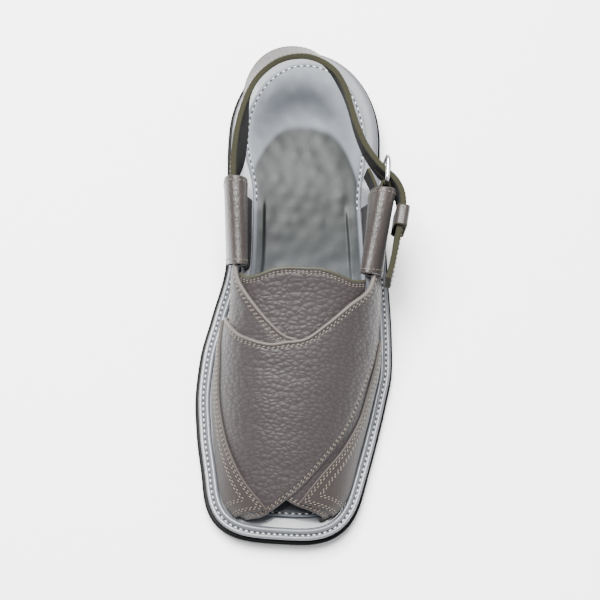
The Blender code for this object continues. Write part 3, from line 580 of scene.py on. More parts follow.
def patch(edges, rows, columns):
    """A grid over the last between two edges, finer beside them, with each point's distance from every edge."""
    ends = np.array([0, 0.0012, 0.003, 0.0055, 0.009, 0.014])
    u = np.concatenate([ends, np.linspace(0.02, 0.98, rows), 1 - ends[::-1]])
    rear = np.stack([sample(edges, "rear", u) * LENGTH, sample(edges, "rear_girth", u)], -1)
    front = np.stack([sample(edges, "front", u) * LENGTH, sample(edges, "front_girth", u)], -1)
    coarse = np.linspace(0, 1, 80)
    line = rear[:, None] + (front - rear)[:, None] * coarse[None, :, None]
    spots = last_point(line[..., 0], line[..., 1])
    run = np.concatenate([np.zeros((len(u), 1)), np.cumsum(np.linalg.norm(np.diff(spots, axis=1), axis=2), 1)], 1)
    share = []
    for way in run:
        steps = EDGE_STEPS * min(1.0, 0.36 * way[-1] / EDGE_STEPS[-1])
        middle = np.linspace(steps[-1], way[-1] - steps[-1], columns)[1:-1]
        share.append(np.interp(np.concatenate([steps, middle, way[-1] - steps[::-1]]), way, coarse))
    share = np.array(share)[..., None]
    at = rear[:, None] * (1 - share) + front[:, None] * share
    s, girth = at[..., 0], at[..., 1]
    base = last_point(s, girth)

    def distance(edge):
        dense = np.linspace(0, len(edge) - 1, 3 * len(edge))
        edge = np.column_stack([np.interp(dense, np.arange(len(edge)), edge[:, k]) for k in range(3)])
        return np.array([np.linalg.norm(row[:, None] - edge[None], axis=2).min(1) for row in base])

    return {"s": s, "girth": girth, "base": base, "normal": last_normal(s, girth),
            "rear": distance(base[:, 0]), "front": distance(base[:, -1]),
            "start": distance(base[0]), "end": distance(base[-1]),
            "uv": np.stack([girth_arc(s, girth), s], -1) / MM}


def row_line(p, edge, distance, keep=()):
    """A seam on a patch at a distance from one edge, as points and normals. Keep lists other edges and how near
    to them the seam may come. The distance is one value or a start and an end value."""
    flip = {"rear": (False, False), "front": (False, True), "start": (True, False), "end": (True, True)}
    swap, back = flip[edge]

    def view(values):
        values = np.swapaxes(values, 0, 1) if swap else values
        return values[:, ::-1] if back else values

    field, top, normal = view(p[edge]), view(p["top"]), view(p["normal"])
    others = [(view(p[other]), near) for other, near in keep]
    near, far = distance if isinstance(distance, tuple) else (distance, distance)
    points = []
    normals = []
    for i in range(len(field)):
        want = near + (far - near) * i / (len(field) - 1)
        reach = int(np.argmax(field[i])) + 1
        if field[i][:reach].max() < want:
            continue
        j = np.interp(want, field[i][:reach], np.arange(reach))
        k = min(int(j), reach - 2)
        t = j - k
        if all(other[i][k] * (1 - t) + other[i][k + 1] * t >= least for other, least in others):
            points.append(top[i][k] * (1 - t) + top[i][k + 1] * t)
            normals.append(normal[i][k] * (1 - t) + normal[i][k + 1] * t)
    return np.array(points), unit(np.array(normals))


def creases(p, rows):
    """Soft troughs in the leather. Each row runs from one place of length share and girth to another, with a
    width and a depth in millimetres."""
    drop = np.zeros_like(p["s"])
    x, y = p["uv"][..., 0], p["uv"][..., 1]
    for s0, g0, s1, g1, width, depth in rows:
        at = np.array([s0, s1]) * LENGTH
        ends = np.stack([girth_arc(at, np.array([g0, g1])), at], -1) / MM
        way = ends[1] - ends[0]
        t = np.clip(((x - ends[0][0]) * way[0] + (y - ends[0][1]) * way[1]) / way.dot(way), 0, 1)
        bow = 1.5 * np.sin(np.pi * t)
        off = np.hypot(x - ends[0][0] - way[0] * t, y - ends[0][1] - way[1] * t - bow)
        drop += depth * MM * np.exp(-(off / width) ** 2)
    return drop


def leather_patch(name, p, seat, thickness, finishes, lips=(), grooves=(), drop=0.0, rounding=0.55 * MM):
    """A closed sheet on a patch. Lips are edges folded over, with the fold's width, its rise and how light it is
    rubbed. Grooves are the seams' pulled lines."""
    edge = np.minimum(np.minimum(p["rear"], p["front"]), np.minimum(p["start"], p["end"]))
    full = np.sqrt(np.clip(1 - (1 - np.clip(edge / rounding, 0, 1)) ** 2, 0, 1))
    rise = np.zeros_like(edge)
    rub = np.zeros_like(edge)
    for side, width, height, light in lips:
        near = 1 - smooth_step(p[side], width * 0.7, width * 1.3)
        rise += height * near
        rub = np.maximum(rub, light * near)
    pull = np.zeros_like(edge)
    for side, distance in grooves:
        pull = np.maximum(pull, np.exp(-((p[side] - distance) / (0.55 * MM)) ** 2))
    middle = seat + thickness / 2
    top = p["base"] + p["normal"] * (middle + full * (thickness / 2 + rise) - 0.2 * MM * pull - drop)[..., None]
    bottom = p["base"] + p["normal"] * (middle - full * thickness / 2)[..., None]
    top[0], top[-1], top[:, 0], top[:, -1] = [
        (p["base"] + p["normal"] * middle)[k] for k in (0, -1, np.s_[:, 0], np.s_[:, -1])]
    p["top"] = top
    rows, columns = edge.shape
    number = np.arange(rows * columns).reshape(rows, columns)
    under = number.copy()
    under[1:-1, 1:-1] = rows * columns + np.arange((rows - 2) * (columns - 2)).reshape(rows - 2, columns - 2)
    points = np.concatenate([top.reshape(-1, 3), bottom[1:-1, 1:-1].reshape(-1, 3)])
    faces = np.concatenate([quads(number), quads(under)[:, ::-1]])
    middle_row, middle_column = rows // 2, columns // 2
    across = top[middle_row + 1, middle_column] - top[middle_row, middle_column]
    along = top[middle_row, middle_column + 1] - top[middle_row, middle_column]
    if np.dot(np.cross(across, along), p["normal"][middle_row, middle_column]) < 0:
        faces = faces[:, ::-1]
    both = lambda v: np.concatenate([v.reshape(-1, *v.shape[2:]), v[1:-1, 1:-1].reshape(-1, *v.shape[2:])])
    below = np.concatenate([np.zeros(rows * columns), np.ones((rows - 2) * (columns - 2))])
    return add_piece(name, points, faces, finishes, uv=both(p["uv"]),
                     marks={"rub": both(rub), "pull": both(pull) * (1 - below), "inside": below})


# Finishes

FLESH_SIDE = "#4a4744"


def add(tree, kind, settings, inputs=None):
    """Adds a node with its settings, values and links. Returns it."""
    node = tree.nodes.new(kind)
    for key, value in settings.items():
        setattr(node, key, value)
    for key, value in (inputs or {}).items():
        if isinstance(value, bpy.types.NodeSocket):
            tree.links.new(value, node.inputs[key])
        else:
            node.inputs[key].default_value = value
    return node


def finish(name):
    """A new material with its tree and shader."""
    look = bpy.data.materials.new(name)
    look.use_nodes = True
    return look, look.node_tree, look.node_tree.nodes["Principled BSDF"]


def rgba(values, share=1.0):
    """A colour, or a darker or lighter share of it, as a node takes it."""
    return (*(min(v * share, 1) for v in values), 1.0)


def leather(name, shade, grain, relief, roughness, creased, wrinkle=0.0, gloss=0.3, light_edge=None):
    """Tanned cowhide. Grain is a pebble's width and length in metres, relief the depth of the cracks and creased
    how dark the painted shade in them is."""
    look, tree, shader = finish(name)
    uv = add(tree, "ShaderNodeUVMap", {"uv_map": "pattern"}).outputs["UV"]
    rub = add(tree, "ShaderNodeAttribute", {"attribute_name": "rub"}).outputs["Fac"]
    pull = add(tree, "ShaderNodeAttribute", {"attribute_name": "pull"}).outputs["Fac"]
    inside = add(tree, "ShaderNodeAttribute", {"attribute_name": "inside"}).outputs["Fac"]
    # Milling folds the grain at random, so the pebbles' lines wander by a share of a pebble
    wander = add(tree, "ShaderNodeTexNoise", {}, {"Vector": uv, "Scale": 0.2, "Detail": 2.0})
    shift = add(tree, "ShaderNodeVectorMath", {"operation": "SUBTRACT"}, {0: wander.outputs["Color"]})
    shift.inputs[1].default_value = (0.5, 0.5, 0.5)
    moved = add(tree, "ShaderNodeVectorMath", {"operation": "MULTIPLY_ADD"},
                {0: shift.outputs[0], 1: (3.6, 2.6, 0.0), 2: uv})
    cell = add(tree, "ShaderNodeVectorMath", {"operation": "MULTIPLY"}, {0: moved.outputs[0]})
    cell.inputs[1].default_value = (MM / grain[0], MM / grain[1], 0.0)
    cracks = add(tree, "ShaderNodeTexVoronoi", {"voronoi_dimensions": "2D", "feature": "DISTANCE_TO_EDGE"},
                 {"Vector": cell.outputs[0], "Scale": 1.0})
    dome = add(tree, "ShaderNodeTexVoronoi", {"voronoi_dimensions": "2D", "feature": "SMOOTH_F1"},
               {"Vector": cell.outputs[0], "Scale": 1.0, "Smoothness": 0.5})
    fine = add(tree, "ShaderNodeTexVoronoi", {"voronoi_dimensions": "2D", "feature": "DISTANCE_TO_EDGE"},
               {"Vector": cell.outputs[0], "Scale": 2.7})
    pores = add(tree, "ShaderNodeTexNoise", {}, {"Vector": uv, "Scale": 3.2, "Detail": 4.0, "Roughness": 0.6})
    edge = add(tree, "ShaderNodeMapRange", {"interpolation_type": "SMOOTHSTEP"},
               {"Value": cracks.outputs["Distance"], "From Min": 0.0, "From Max": 0.24})
    small = add(tree, "ShaderNodeMapRange", {"interpolation_type": "SMOOTHSTEP"},
                {"Value": fine.outputs["Distance"], "From Min": 0.0, "From Max": 0.22})
    round_top = add(tree, "ShaderNodeMath", {"operation": "MULTIPLY_ADD"},
                    {0: dome.outputs["Distance"], 1: -1.5, 2: 1.2})
    height = add(tree, "ShaderNodeMath", {"operation": "MULTIPLY_ADD"},
                 {0: edge.outputs[0], 1: 0.16, 2: round_top.outputs[0]})
    height = add(tree, "ShaderNodeMath", {"operation": "MULTIPLY_ADD"},
                 {0: small.outputs[0], 1: 0.08, 2: height.outputs[0]})
    height = add(tree, "ShaderNodeMath", {"operation": "MULTIPLY_ADD"},
                 {0: pores.outputs["Fac"], 1: 0.12, 2: height.outputs[0]})
    if wrinkle:
        # Leather bent round a sleeve wrinkles in fine lines across it, about 2 mm apart
        fold_at = add(tree, "ShaderNodeVectorMath", {"operation": "MULTIPLY"}, {0: uv})
        fold_at.inputs[1].default_value = (0.62, 0.045, 0.0)
        folds = add(tree, "ShaderNodeTexNoise", {}, {"Vector": fold_at.outputs[0], "Scale": 1.0, "Detail": 3.0,
                                                     "Roughness": 0.62, "Distortion": 0.4})
        height = add(tree, "ShaderNodeMath", {"operation": "MULTIPLY_ADD"},
                     {0: folds.outputs["Fac"], 1: wrinkle, 2: height.outputs[0]})
    calm = add(tree, "ShaderNodeMath", {"operation": "MULTIPLY_ADD", "use_clamp": True}, {0: rub, 1: -0.75, 2: 1.0})
    bump = add(tree, "ShaderNodeBump", {}, {"Height": height.outputs[0], "Distance": relief,
                                            "Strength": calm.outputs[0]})
    tree.links.new(bump.outputs[0], shader.inputs["Normal"])
    # Dye drifts in cloudy patches some 20 mm wide, and painted shade darkens the cracks
    cloud = add(tree, "ShaderNodeTexNoise", {}, {"Vector": uv, "Scale": 0.045, "Detail": 3.0})
    base = add(tree, "ShaderNodeMix", {"data_type": "RGBA", "blend_type": "MIX"},
               {6: rgba(shade, 0.86), 7: rgba(shade, 1.12),
                0: cloud.outputs["Fac"]})
    depth = add(tree, "ShaderNodeMath", {"operation": "MULTIPLY_ADD", "use_clamp": True},
                {0: edge.outputs[0], 1: -creased, 2: creased})
    crack_shaded = add(tree, "ShaderNodeMix", {"data_type": "RGBA"},
               {0: depth.outputs[0], 6: base.outputs[2], 7: rgba(shade, 0.45)})
    # Painted shade along the seams' pulled grooves darkens the leather there
    seam = add(tree, "ShaderNodeMath", {"operation": "MULTIPLY"}, {0: pull, 1: 0.3})
    worn = add(tree, "ShaderNodeMix", {"data_type": "RGBA"},
               {0: seam.outputs[0], 6: crack_shaded.outputs[2], 7: rgba(shade, 0.4)})
    lit = add(tree, "ShaderNodeMix", {"data_type": "RGBA"},
              {0: rub, 6: worn.outputs[2], 7: rgba(light_edge or colours().edge)})
    both = add(tree, "ShaderNodeMix", {"data_type": "RGBA"},
               {0: inside, 6: lit.outputs[2], 7: rgba(linear(FLESH_SIDE))})
    tree.links.new(both.outputs[2], shader.inputs["Base Color"])
    rough = add(tree, "ShaderNodeMath", {"operation": "MULTIPLY_ADD"},
                {0: edge.outputs[0], 1: -0.1, 2: roughness + 0.1})
    tree.links.new(rough.outputs[0], shader.inputs["Roughness"])
    shader.inputs["Sheen Weight"].default_value = 0.04
    shader.inputs["Specular IOR Level"].default_value = gloss
    return look


def plain_finish(name, shade, roughness, relief, scale, coat=0.0, metallic=0.0, drift=0.12,
                 specular=0.5):
    """Rubber, satin strip, thread or wire: one colour with a drift, fine surface noise and its own gloss."""
    look, tree, shader = finish(name)
    at = add(tree, "ShaderNodeTexCoord", {}).outputs["Object"]
    noise = add(tree, "ShaderNodeTexNoise", {}, {"Vector": at, "Scale": 1 / scale, "Detail": 3.0})
    cloud = add(tree, "ShaderNodeTexNoise", {}, {"Vector": at, "Scale": 60.0, "Detail": 2.0})
    mix = add(tree, "ShaderNodeMix", {"data_type": "RGBA"},
              {0: cloud.outputs["Fac"], 6: rgba(shade, 1 - drift),
               7: rgba(shade, 1 + drift)})
    tree.links.new(mix.outputs[2], shader.inputs["Base Color"])
    rough = add(tree, "ShaderNodeMath", {"operation": "MULTIPLY_ADD"},
                {0: noise.outputs["Fac"], 1: 0.12, 2: roughness - 0.06})
    tree.links.new(rough.outputs[0], shader.inputs["Roughness"])
    bump = add(tree, "ShaderNodeBump", {}, {"Height": noise.outputs["Fac"], "Distance": relief})
    tree.links.new(bump.outputs[0], shader.inputs["Normal"])
    shader.inputs["Coat Weight"].default_value = coat
    shader.inputs["Metallic"].default_value = metallic
    shader.inputs["Specular IOR Level"].default_value = specular
    return look


def insole_leather():
    """Glazed sheepskin over foam padding: pale, soft gloss, with a darker painted shadow from ahead of the heel to the
    toe, greenish in patches.
    """
    look, tree, shader = finish("sheepskin_insole")
    shade = colours().insole
    uv = add(tree, "ShaderNodeUVMap", {"uv_map": "pattern"}).outputs["UV"]
    pad = add(tree, "ShaderNodeAttribute", {"attribute_name": "pad"}).outputs["Fac"]
    hollow = add(tree, "ShaderNodeAttribute", {"attribute_name": "hollow"}).outputs["Fac"]
    cloud = add(tree, "ShaderNodeTexNoise", {}, {"Vector": uv, "Scale": 0.09, "Detail": 4.0})
    tone = add(tree, "ShaderNodeMix", {"data_type": "RGBA"},
               {0: cloud.outputs["Fac"], 6: rgba(shade, 0.86),
                7: rgba(shade, 1.12)})
    # Painted shadow: the marked area turns near-black, blotched greenish
    blotch = add(tree, "ShaderNodeTexNoise", {}, {"Vector": uv, "Scale": 0.035, "Detail": 3.0})
    green = add(tree, "ShaderNodeMix", {"data_type": "RGBA"},
                {0: blotch.outputs["Fac"], 6: rgba(colours().arch), 7: rgba(linear("#101614"))})
    mixed = add(tree, "ShaderNodeMix", {"data_type": "RGBA"},
                {0: pad, 6: tone.outputs[2], 7: green.outputs[2]})
    # Painted shade in the hollows between the foam bumps
    low = add(tree, "ShaderNodeMath", {"operation": "MULTIPLY"}, {0: hollow, 1: 0.2})
    shaded = add(tree, "ShaderNodeMix", {"data_type": "RGBA"},
                 {0: low.outputs[0], 6: mixed.outputs[2], 7: rgba(linear("#222427"))})
    tree.links.new(shaded.outputs[2], shader.inputs["Base Color"])
    grain = add(tree, "ShaderNodeTexVoronoi", {"voronoi_dimensions": "2D", "feature": "DISTANCE_TO_EDGE"},
                {"Vector": uv, "Scale": 1.3})
    pores = add(tree, "ShaderNodeTexNoise", {}, {"Vector": uv, "Scale": 2.2, "Detail": 3.0})
    height = add(tree, "ShaderNodeMath", {"operation": "MULTIPLY_ADD"},
                 {0: grain.outputs["Distance"], 1: 0.8, 2: pores.outputs["Fac"]})
    bump = add(tree, "ShaderNodeBump", {}, {"Height": height.outputs[0], "Distance": 0.07 * MM})
    tree.links.new(bump.outputs[0], shader.inputs["Normal"])
    shader.inputs["Roughness"].default_value = 0.42
    shader.inputs["Coat Weight"].default_value = 0.03
    shader.inputs["Coat Roughness"].default_value = 0.35
    shader.inputs["Specular IOR Level"].default_value = 0.2
    return look


def suede(name, shade, scale=0.6):
    """Raw split side or cut edge of the hide: open fibres, no gloss."""
    look, tree, shader = finish(name)
    at = add(tree, "ShaderNodeTexCoord", {}).outputs["Object"]
    fibre = add(tree, "ShaderNodeTexNoise", {}, {"Vector": at, "Scale": 1 / (scale * MM), "Detail": 5.0,
                                                 "Roughness": 0.7})
    mix = add(tree, "ShaderNodeMix", {"data_type": "RGBA"},
              {0: fibre.outputs["Fac"], 6: rgba(shade, 0.45),
               7: rgba(shade, 1.65)})
    tree.links.new(mix.outputs[2], shader.inputs["Base Color"])
    bump = add(tree, "ShaderNodeBump", {}, {"Height": fibre.outputs["Fac"], "Distance": 0.25 * MM})
    tree.links.new(bump.outputs[0], shader.inputs["Normal"])
    shader.inputs["Roughness"].default_value = 0.9
    shader.inputs["Sheen Weight"].default_value = 0.03
    shader.inputs["Specular IOR Level"].default_value = 0.12
    return look


FINISHES = {}


def look_of(name):
    """Each finish, made once. Named for what the real one is."""
    if name in FINISHES:
        return FINISHES[name]
    c, z = colours(), sizes()
    pebble = (z.pebble_across, z.pebble_along)
    makers = {
        # Milled cowhide: rounded pebbles between soft cracks, a low gloss on their tops
        "milled_leather": lambda: leather("milled_leather", c.pebbled, pebble, 0.22 * MM, 0.5, creased=0.6),
        # The under flap's milled cowhide, pressed a little flatter
        "under_leather": lambda: leather("under_leather", c.pebbled, pebble, 0.17 * MM, 0.5, creased=0.5),
        # Smooth cowhide: a grain under 1 mm, drawn at 1.0 to 1.3 mm so that it shows
        "smooth_leather": lambda: leather("smooth_leather", c.smooth, (1.3 * MM, 1.0 * MM), 0.06 * MM, 0.56,
                                          creased=0.12, gloss=0.2),
        # Smooth cowhide folded round a sleeve or keeper: glossier, and wrinkled across the fold
        "sleeve_leather": lambda: leather("sleeve_leather", c.smooth, (2.4 * MM, 1.8 * MM), 0.08 * MM, 0.38,
                                          creased=0.1, wrinkle=1.8),
        # Smooth cowhide of the strap, its grain a little coarser
        "strap_leather": lambda: leather("strap_leather", c.smooth, (2.2 * MM, 1.8 * MM), 0.12 * MM, 0.46,
                                         creased=0.12),
        # Painted shade: near-black leather on the quarters' foot side
        "painted_shade_leather": lambda: leather("painted_shade_leather", linear("#161515"), (1.6 * MM, 1.3 * MM), 0.1 * MM, 0.5,
                                        creased=0.1),
        "sheepskin_insole": insole_leather,
        # Satin vinyl strip and piping: even, with a soft highlight
        "satin_welt": lambda: plain_finish("satin_welt", c.welt, 0.36, 0.04 * MM, 0.9 * MM, coat=0.15),
        # Moulded rubber, buffed: nearly black with a broad gloss
        "moulded_rubber": lambda: plain_finish("moulded_rubber", c.rubber, 0.52, 0.04 * MM, 0.8 * MM, drift=0.3,
                                               specular=0.09),
        # Waxed polyester threads: twisted strands with a faint lustre
        "beige_thread": lambda: plain_finish("beige_thread", c.beige_thread, 0.55, 0.06 * MM, 0.25 * MM),
        "white_thread": lambda: plain_finish("white_thread", c.white_thread, 0.5, 0.06 * MM, 0.25 * MM, drift=0.04),
        # The shadow in a needle hole
        "needle_hole": lambda: plain_finish("needle_hole", c.hole, 0.8, 0.05 * MM, 0.3 * MM),
        # Chromed steel wire: bright, with fine rub marks
        "chromed_wire": lambda: plain_finish("chromed_wire", c.chrome, 0.2, 0.01 * MM, 0.5 * MM, metallic=1.0,
                                             drift=0.05),
        # Cut edge of the hide, and the strap's black split lining: open fibres
        "raw_edge": lambda: suede("raw_edge", c.raw_edge),
        "black_lining": lambda: suede("black_lining", c.lining, 0.9),
    }
    FINISHES[name] = makers[name]()
    return FINISHES[name]


# Strips of leather bent along a route

def strip(name, centre, down, normal, width, thickness, finishes, closed=False, rounding=0.4):
    """A strip of leather along a route: a rounded section of width and thickness swept through its points.
    The finishes are for its outer face, its edges and its inner face."""
    half = thickness / 2
    r = rounding * half
    section = []
    # Each flat side, seen from its own left, with the two quarter turns that follow it
    for side, kind in ((1, 0), (-1, 2)):
        for t in np.linspace(0, 1, 15)[::side]:
            section.append((r + (width - 2 * r) * t, side * half, kind))
        far = width - r if side == 1 else r
        for a in np.linspace(0, math.pi / 2, 5)[1:]:
            section.append((far + side * r * math.sin(a), side * (half - r + r * math.cos(a)), 1))
        for a in np.linspace(0, math.pi / 2, 5)[:-1]:
            section.append((far + side * r * math.cos(a), side * (-half + r - r * math.sin(a)), 1))
    section = np.array(section)
    rings = (centre[:, None] + down[:, None] * section[None, :, 0:1] + normal[:, None] * section[None, :, 1:2])
    count = len(section)
    rows = len(centre)
    number = np.arange(rows * count).reshape(rows, count)
    if closed:
        number = np.concatenate([number, number[:1]])
    faces = quads(np.concatenate([number, number[:, :1]], 1))
    face, after = section[:, 2], np.roll(section[:, 2], -1)
    kind = np.tile(np.where((face == 1) | (after == 1) | (face != after), 1, face).astype(int), len(number) - 1)
    faces = faces.tolist()
    kind = kind.tolist()
    if not closed:
        faces.append(number[0].tolist())
        faces.append(number[-1][::-1].tolist())
        kind += [1, 1]
    run = arc_length(centre) / MM
    around = arc_length(section[:, :2]) / MM
    uv = np.stack(np.broadcast_arrays(run[:, None], around[None, :]), -1)
    made = add_piece(name, rings.reshape(-1, 3), faces, finishes, uv=uv, finish_of=kind)
    face_outward(made)
    sharpen(made, 50)
    return made


def hang(centre):
    """Downward directions and sideways normals of a strip that stands upright on a route."""
    down = np.tile([0.0, 0.0, -1.0], (len(centre), 1))
    return down, np.cross(unit(np.gradient(centre, axis=0)), down)


def strap_frames(key):
    """Points on the strap's top edge, with the directions down its width, outward and ahead."""
    top = np.stack([route_point(STRAP_ROUTE, "x", key) * MM, HEEL_REST - route_point(STRAP_ROUTE, "s", key) * MM,
                    route_point(STRAP_ROUTE, "top", key) * MM], -1)
    step = 0.05
    ahead = [route_point(STRAP_ROUTE, c, key + step) - route_point(STRAP_ROUTE, c, key - step) for c in ("x", "s")]
    along = unit(np.stack([ahead[0], -ahead[1], 0 * key], -1))
    up = np.array([0.0, 0.0, 1.0])
    outward = np.cross(up, along)
    lean = np.radians(route_point(STRAP_ROUTE, "lean", key))[:, None]
    down = -up * np.cos(lean) - outward * np.sin(lean)
    return top, down, np.cross(along, down), along


def key_at(s):
    """Place on the strap's last stretch where it passes s."""
    keys = np.linspace(STRAP_BUCKLE_ROW, len(STRAP_ROUTE["row"]) - 1, 400)
    return float(np.interp(s / MM, route_point(STRAP_ROUTE, "s", keys), keys))


# The pieces

class Maker(bpy.types.Operator):
    """Common to every piece of the shoe."""
    bl_options = {"REGISTER", "UNDO"}

    def execute(self, context):
        self.make()
        return {"FINISHED"}


class CHAPPAL_OT_sole(Maker):
    """Rubber outsole and heel block, and the leather platform"""
    bl_idname = "chappal.sole"
    bl_label = "Sole"

    def make(self):
        rubber = look_of("moulded_rubber")
        rounding = 0.9 * MM

        def flange(s):
            return -(OUTSOLE_FLANGE + TOE_FLANGE * smooth_step(s, 0.85 * LENGTH, LENGTH))

        def rounded(inset, low, high):
            """Levels of a plate from low to high, with both edges rounded."""
            turns = np.radians([0, 30, 60, 90])
            ends = [(low, 1, t) for t in turns] + [(high, -1, t) for t in turns[::-1]]
            return [(lambda s, t=turn: inset(s) + rounding * (1 - math.sin(t)),
                     lambda s, t=turn, end=end, way=way: end(s) + way * rounding * (1 - math.cos(t)))
                    for end, way, turn in ends]

        outsole = plate("outsole_rubber", rounded(flange, sole_line, lambda s: sole_line(s) + OUTSOLE), rubber)
        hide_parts("outsole")
        levels = rounded(lambda s: 0.0 * s, lambda s: sole_line(s) + OUTSOLE + GAP * 0.2, deck)
        platform = plate("platform_board", levels, look_of("satin_welt"))
        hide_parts("platform")
        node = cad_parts["heel"]
        node.data.materials.clear()
        node.data.materials.append(rubber)


class CHAPPAL_OT_welt(Maker):
    """Welt strip with its stitch channel, stitches and rolled bead"""
    bl_idname = "chappal.welt"
    bl_label = "Welt"

    def make(self):
        profile = [(0.0, 0.1), (0.0, WELT_STRIP / MM - 0.5), (0.15, WELT_STRIP / MM - 0.15), (0.5, WELT_STRIP / MM)]
        profile += [(1.0, 1.42), (1.5, 1.42), (1.9, 1.36), (2.2, 1.15), (2.5, 0.92), (2.8, 0.9), (3.05, 1.0)]
        profile = [(a * MM, b * MM) for a, b in profile]
        for turn in np.radians(np.linspace(-8, 188, 19)):
            profile.append((BEAD_CENTRE - BEAD_RADIUS * math.cos(turn), BEAD_LIFT + BEAD_RADIUS * math.sin(turn)))
        profile.append((BEAD_CENTRE + BEAD_RADIUS * 0.95, 0.1 * MM))
        start = station_of(WELT_START)
        station = np.concatenate([np.linspace(start, 1, 150), np.linspace(1, start, 150)[1:]])
        side = np.concatenate([np.full(150, MEDIAL), np.full(149, LATERAL)])
        rings = np.empty((len(station), len(profile), 3))
        for j, (inset, height) in enumerate(profile):
            for one in (MEDIAL, LATERAL):
                pick = side == one
                at = rim(station[pick], one, np.full(pick.sum(), inset))
                rise = deck(outline(station[pick], one)[:, 0]) + height
                rings[pick, j] = np.column_stack([at[:, 1], HEEL_REST - at[:, 0], rise])
        count = len(profile)
        number = np.arange(len(station) * count).reshape(-1, count)
        faces = quads(np.concatenate([number, number[:, :1]], 1)).tolist()
        faces += [number[0].tolist(), number[-1][::-1].tolist()]
        run = arc_length(rings[:, 6]) / MM
        uv = np.stack(np.broadcast_arrays(run[:, None], np.arange(count)[None, :] * 0.4), -1)
        welt = add_piece("welt_strip", rings.reshape(-1, 3), faces, [look_of("satin_welt")], uv=uv)
        face_outward(welt)
        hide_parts("welt")
        path = (rings[:, 8] + rings[:, 9]) / 2
        up = np.tile([0.0, 0.0, 1.0], (len(path), 1))
        z = sizes()
        sew("welt_stitches", [(path, up)], z.welt_pitch, z.sole_stitch, z.sole_thread, look_of("white_thread"),
            holes=look_of("needle_hole"))


class CHAPPAL_OT_insole(Maker):
    """Padded insole with its soft bumps, painted shadow and stitches"""
    bl_idname = "chappal.insole"
    bl_label = "Insole"

    def make(self):
        z = sizes()

        def inset(s):
            step = smooth_step(s, INSOLE_STEP_START, INSOLE_STEP_END)
            return INSOLE_HEEL_INSET + (INSOLE_FORE_INSET - INSOLE_HEEL_INSET) * step

        def edge_room(points):
            """How far each point lies inside the insole's edge, roughly."""
            s = HEEL_REST - points[:, 1]
            room = []
            for side in (MEDIAL, LATERAL):
                wide = half_width(s, side) * end_rounding(s, LENGTH, TOE_ROUND) - inset(s)
                room.append(wide - side * points[:, 0])
            return np.maximum(np.minimum(np.minimum(room[0], room[1]), np.minimum(s, LENGTH - s) - inset(s)), 0), s

        # Foam bumps, each a little off an even lattice and of its own height
        chance = np.random.default_rng(11)
        across, along = np.meshgrid(np.arange(-60, 62, z.bump_pitch / MM), np.arange(0, 296, 0.88 * z.bump_pitch / MM))
        across = across + np.arange(len(across))[:, None] % 2 * z.bump_pitch / MM / 2
        bumps = np.stack([across, along], -1).reshape(-1, 2) * MM
        bumps += chance.normal(0, 0.16 * z.bump_pitch, bumps.shape)
        strength = chance.uniform(0.35, 1.15, len(bumps))

        def pattern(points):
            room, s = edge_room(points)
            total = np.zeros(len(points))
            for (x, y), high in zip(bumps, strength):
                total += high * np.exp(-((points[:, 0] - x) ** 2 + (s - y) ** 2) / (0.4 * z.bump_pitch) ** 2)
            return (1.25 * total - 0.75) * smooth_step(room, 2 * MM, 9 * MM)

        def swell(points):
            room, s = edge_room(points)
            top = points[:, 2] > deck(s) + INSOLE * 0.75
            rise = z.bump_height * 0.5 * pattern(points)
            # Each quarter's foot lies under the insole and raises its edge
            for side, width in ((MEDIAL, 7.5 * MM), (LATERAL, 9.5 * MM)):
                reach = half_width(s, side) - inset(s) - side * points[:, 0]
                bed = smooth_step(s, 93 * MM, 101 * MM) * (1 - smooth_step(s, 150 * MM, 165 * MM))
                rise += 0.9 * MM * bed * (1 - smooth_step(reach, width - 1.6 * MM, width))
            rise -= 0.35 * MM * np.exp(-((room - INSOLE_SEAM) / (0.8 * MM)) ** 2)
            return np.where(top, rise, 0.0)

        def marks(points):
            room, s = edge_room(points)
            x = points[:, 0]
            # Painted shadow: from ahead of the heel to the toe, its rear edge curving forward towards both sides, a
            # little fainter towards the toe and kept off the edge
            start = 48 * MM + (np.abs(x - 1 * MM) / (27 * MM)) ** 3 * 20 * MM
            pad = smooth_step(s, start - 2.5 * MM, start + 3 * MM)
            pad *= 1 - 0.2 * smooth_step(s, 105 * MM, 150 * MM)
            pad *= smooth_step(room, 0.5 * MM, 4 * MM)
            return {"pad": pad, "hollow": np.clip(-pattern(points), 0, 1)}

        round_edge = 0.8 * MM
        levels = [(inset, lambda s: deck(s) + GAP * 0.2), (inset, lambda s: deck(s) + INSOLE - round_edge)]
        for turn in np.radians([25, 50, 75, 90]):
            levels.append((lambda s, t=turn: inset(s) + round_edge * (1 - math.cos(t)),
                           lambda s, t=turn: deck(s) + INSOLE - round_edge * (1 - math.sin(t))))
        insole = plate("insole_pad", levels, look_of("sheepskin_insole"), stations=240, across=96, swell=swell,
                       marks=marks)
        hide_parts("insole")
        station = np.linspace(0, 1, 400)
        s = outline(station, MEDIAL)[:, 0]
        sides = [rim(station, side, inset(s) + INSOLE_SEAM) for side in (MEDIAL, LATERAL)]
        # The seam runs round the heel from quarter to quarter, and round the toe under the flaps
        seams = []
        for part in (station < station_of(QUARTER_FOOT_REAR + 2 * MM), station > station_of(QUARTER_TOP_FRONT)):
            ends = [side[part] for side in sides]
            loop = np.concatenate([ends[0][::-1], ends[1]] if part[0] else [ends[0], ends[1][::-1]])
            path = np.column_stack([loop[:, 1], HEEL_REST - loop[:, 0], 0 * loop[:, 0]])
            path[:, 2] = deck(HEEL_REST - path[:, 1]) + INSOLE
            path[:, 2] += swell(path)
            seams.append((path, np.tile([0.0, 0.0, 1.0], (len(path), 1))))
        sew("insole_stitches", seams, z.insole_pitch, z.sole_stitch, z.sole_thread,
            look_of("white_thread"), holes=look_of("needle_hole"))


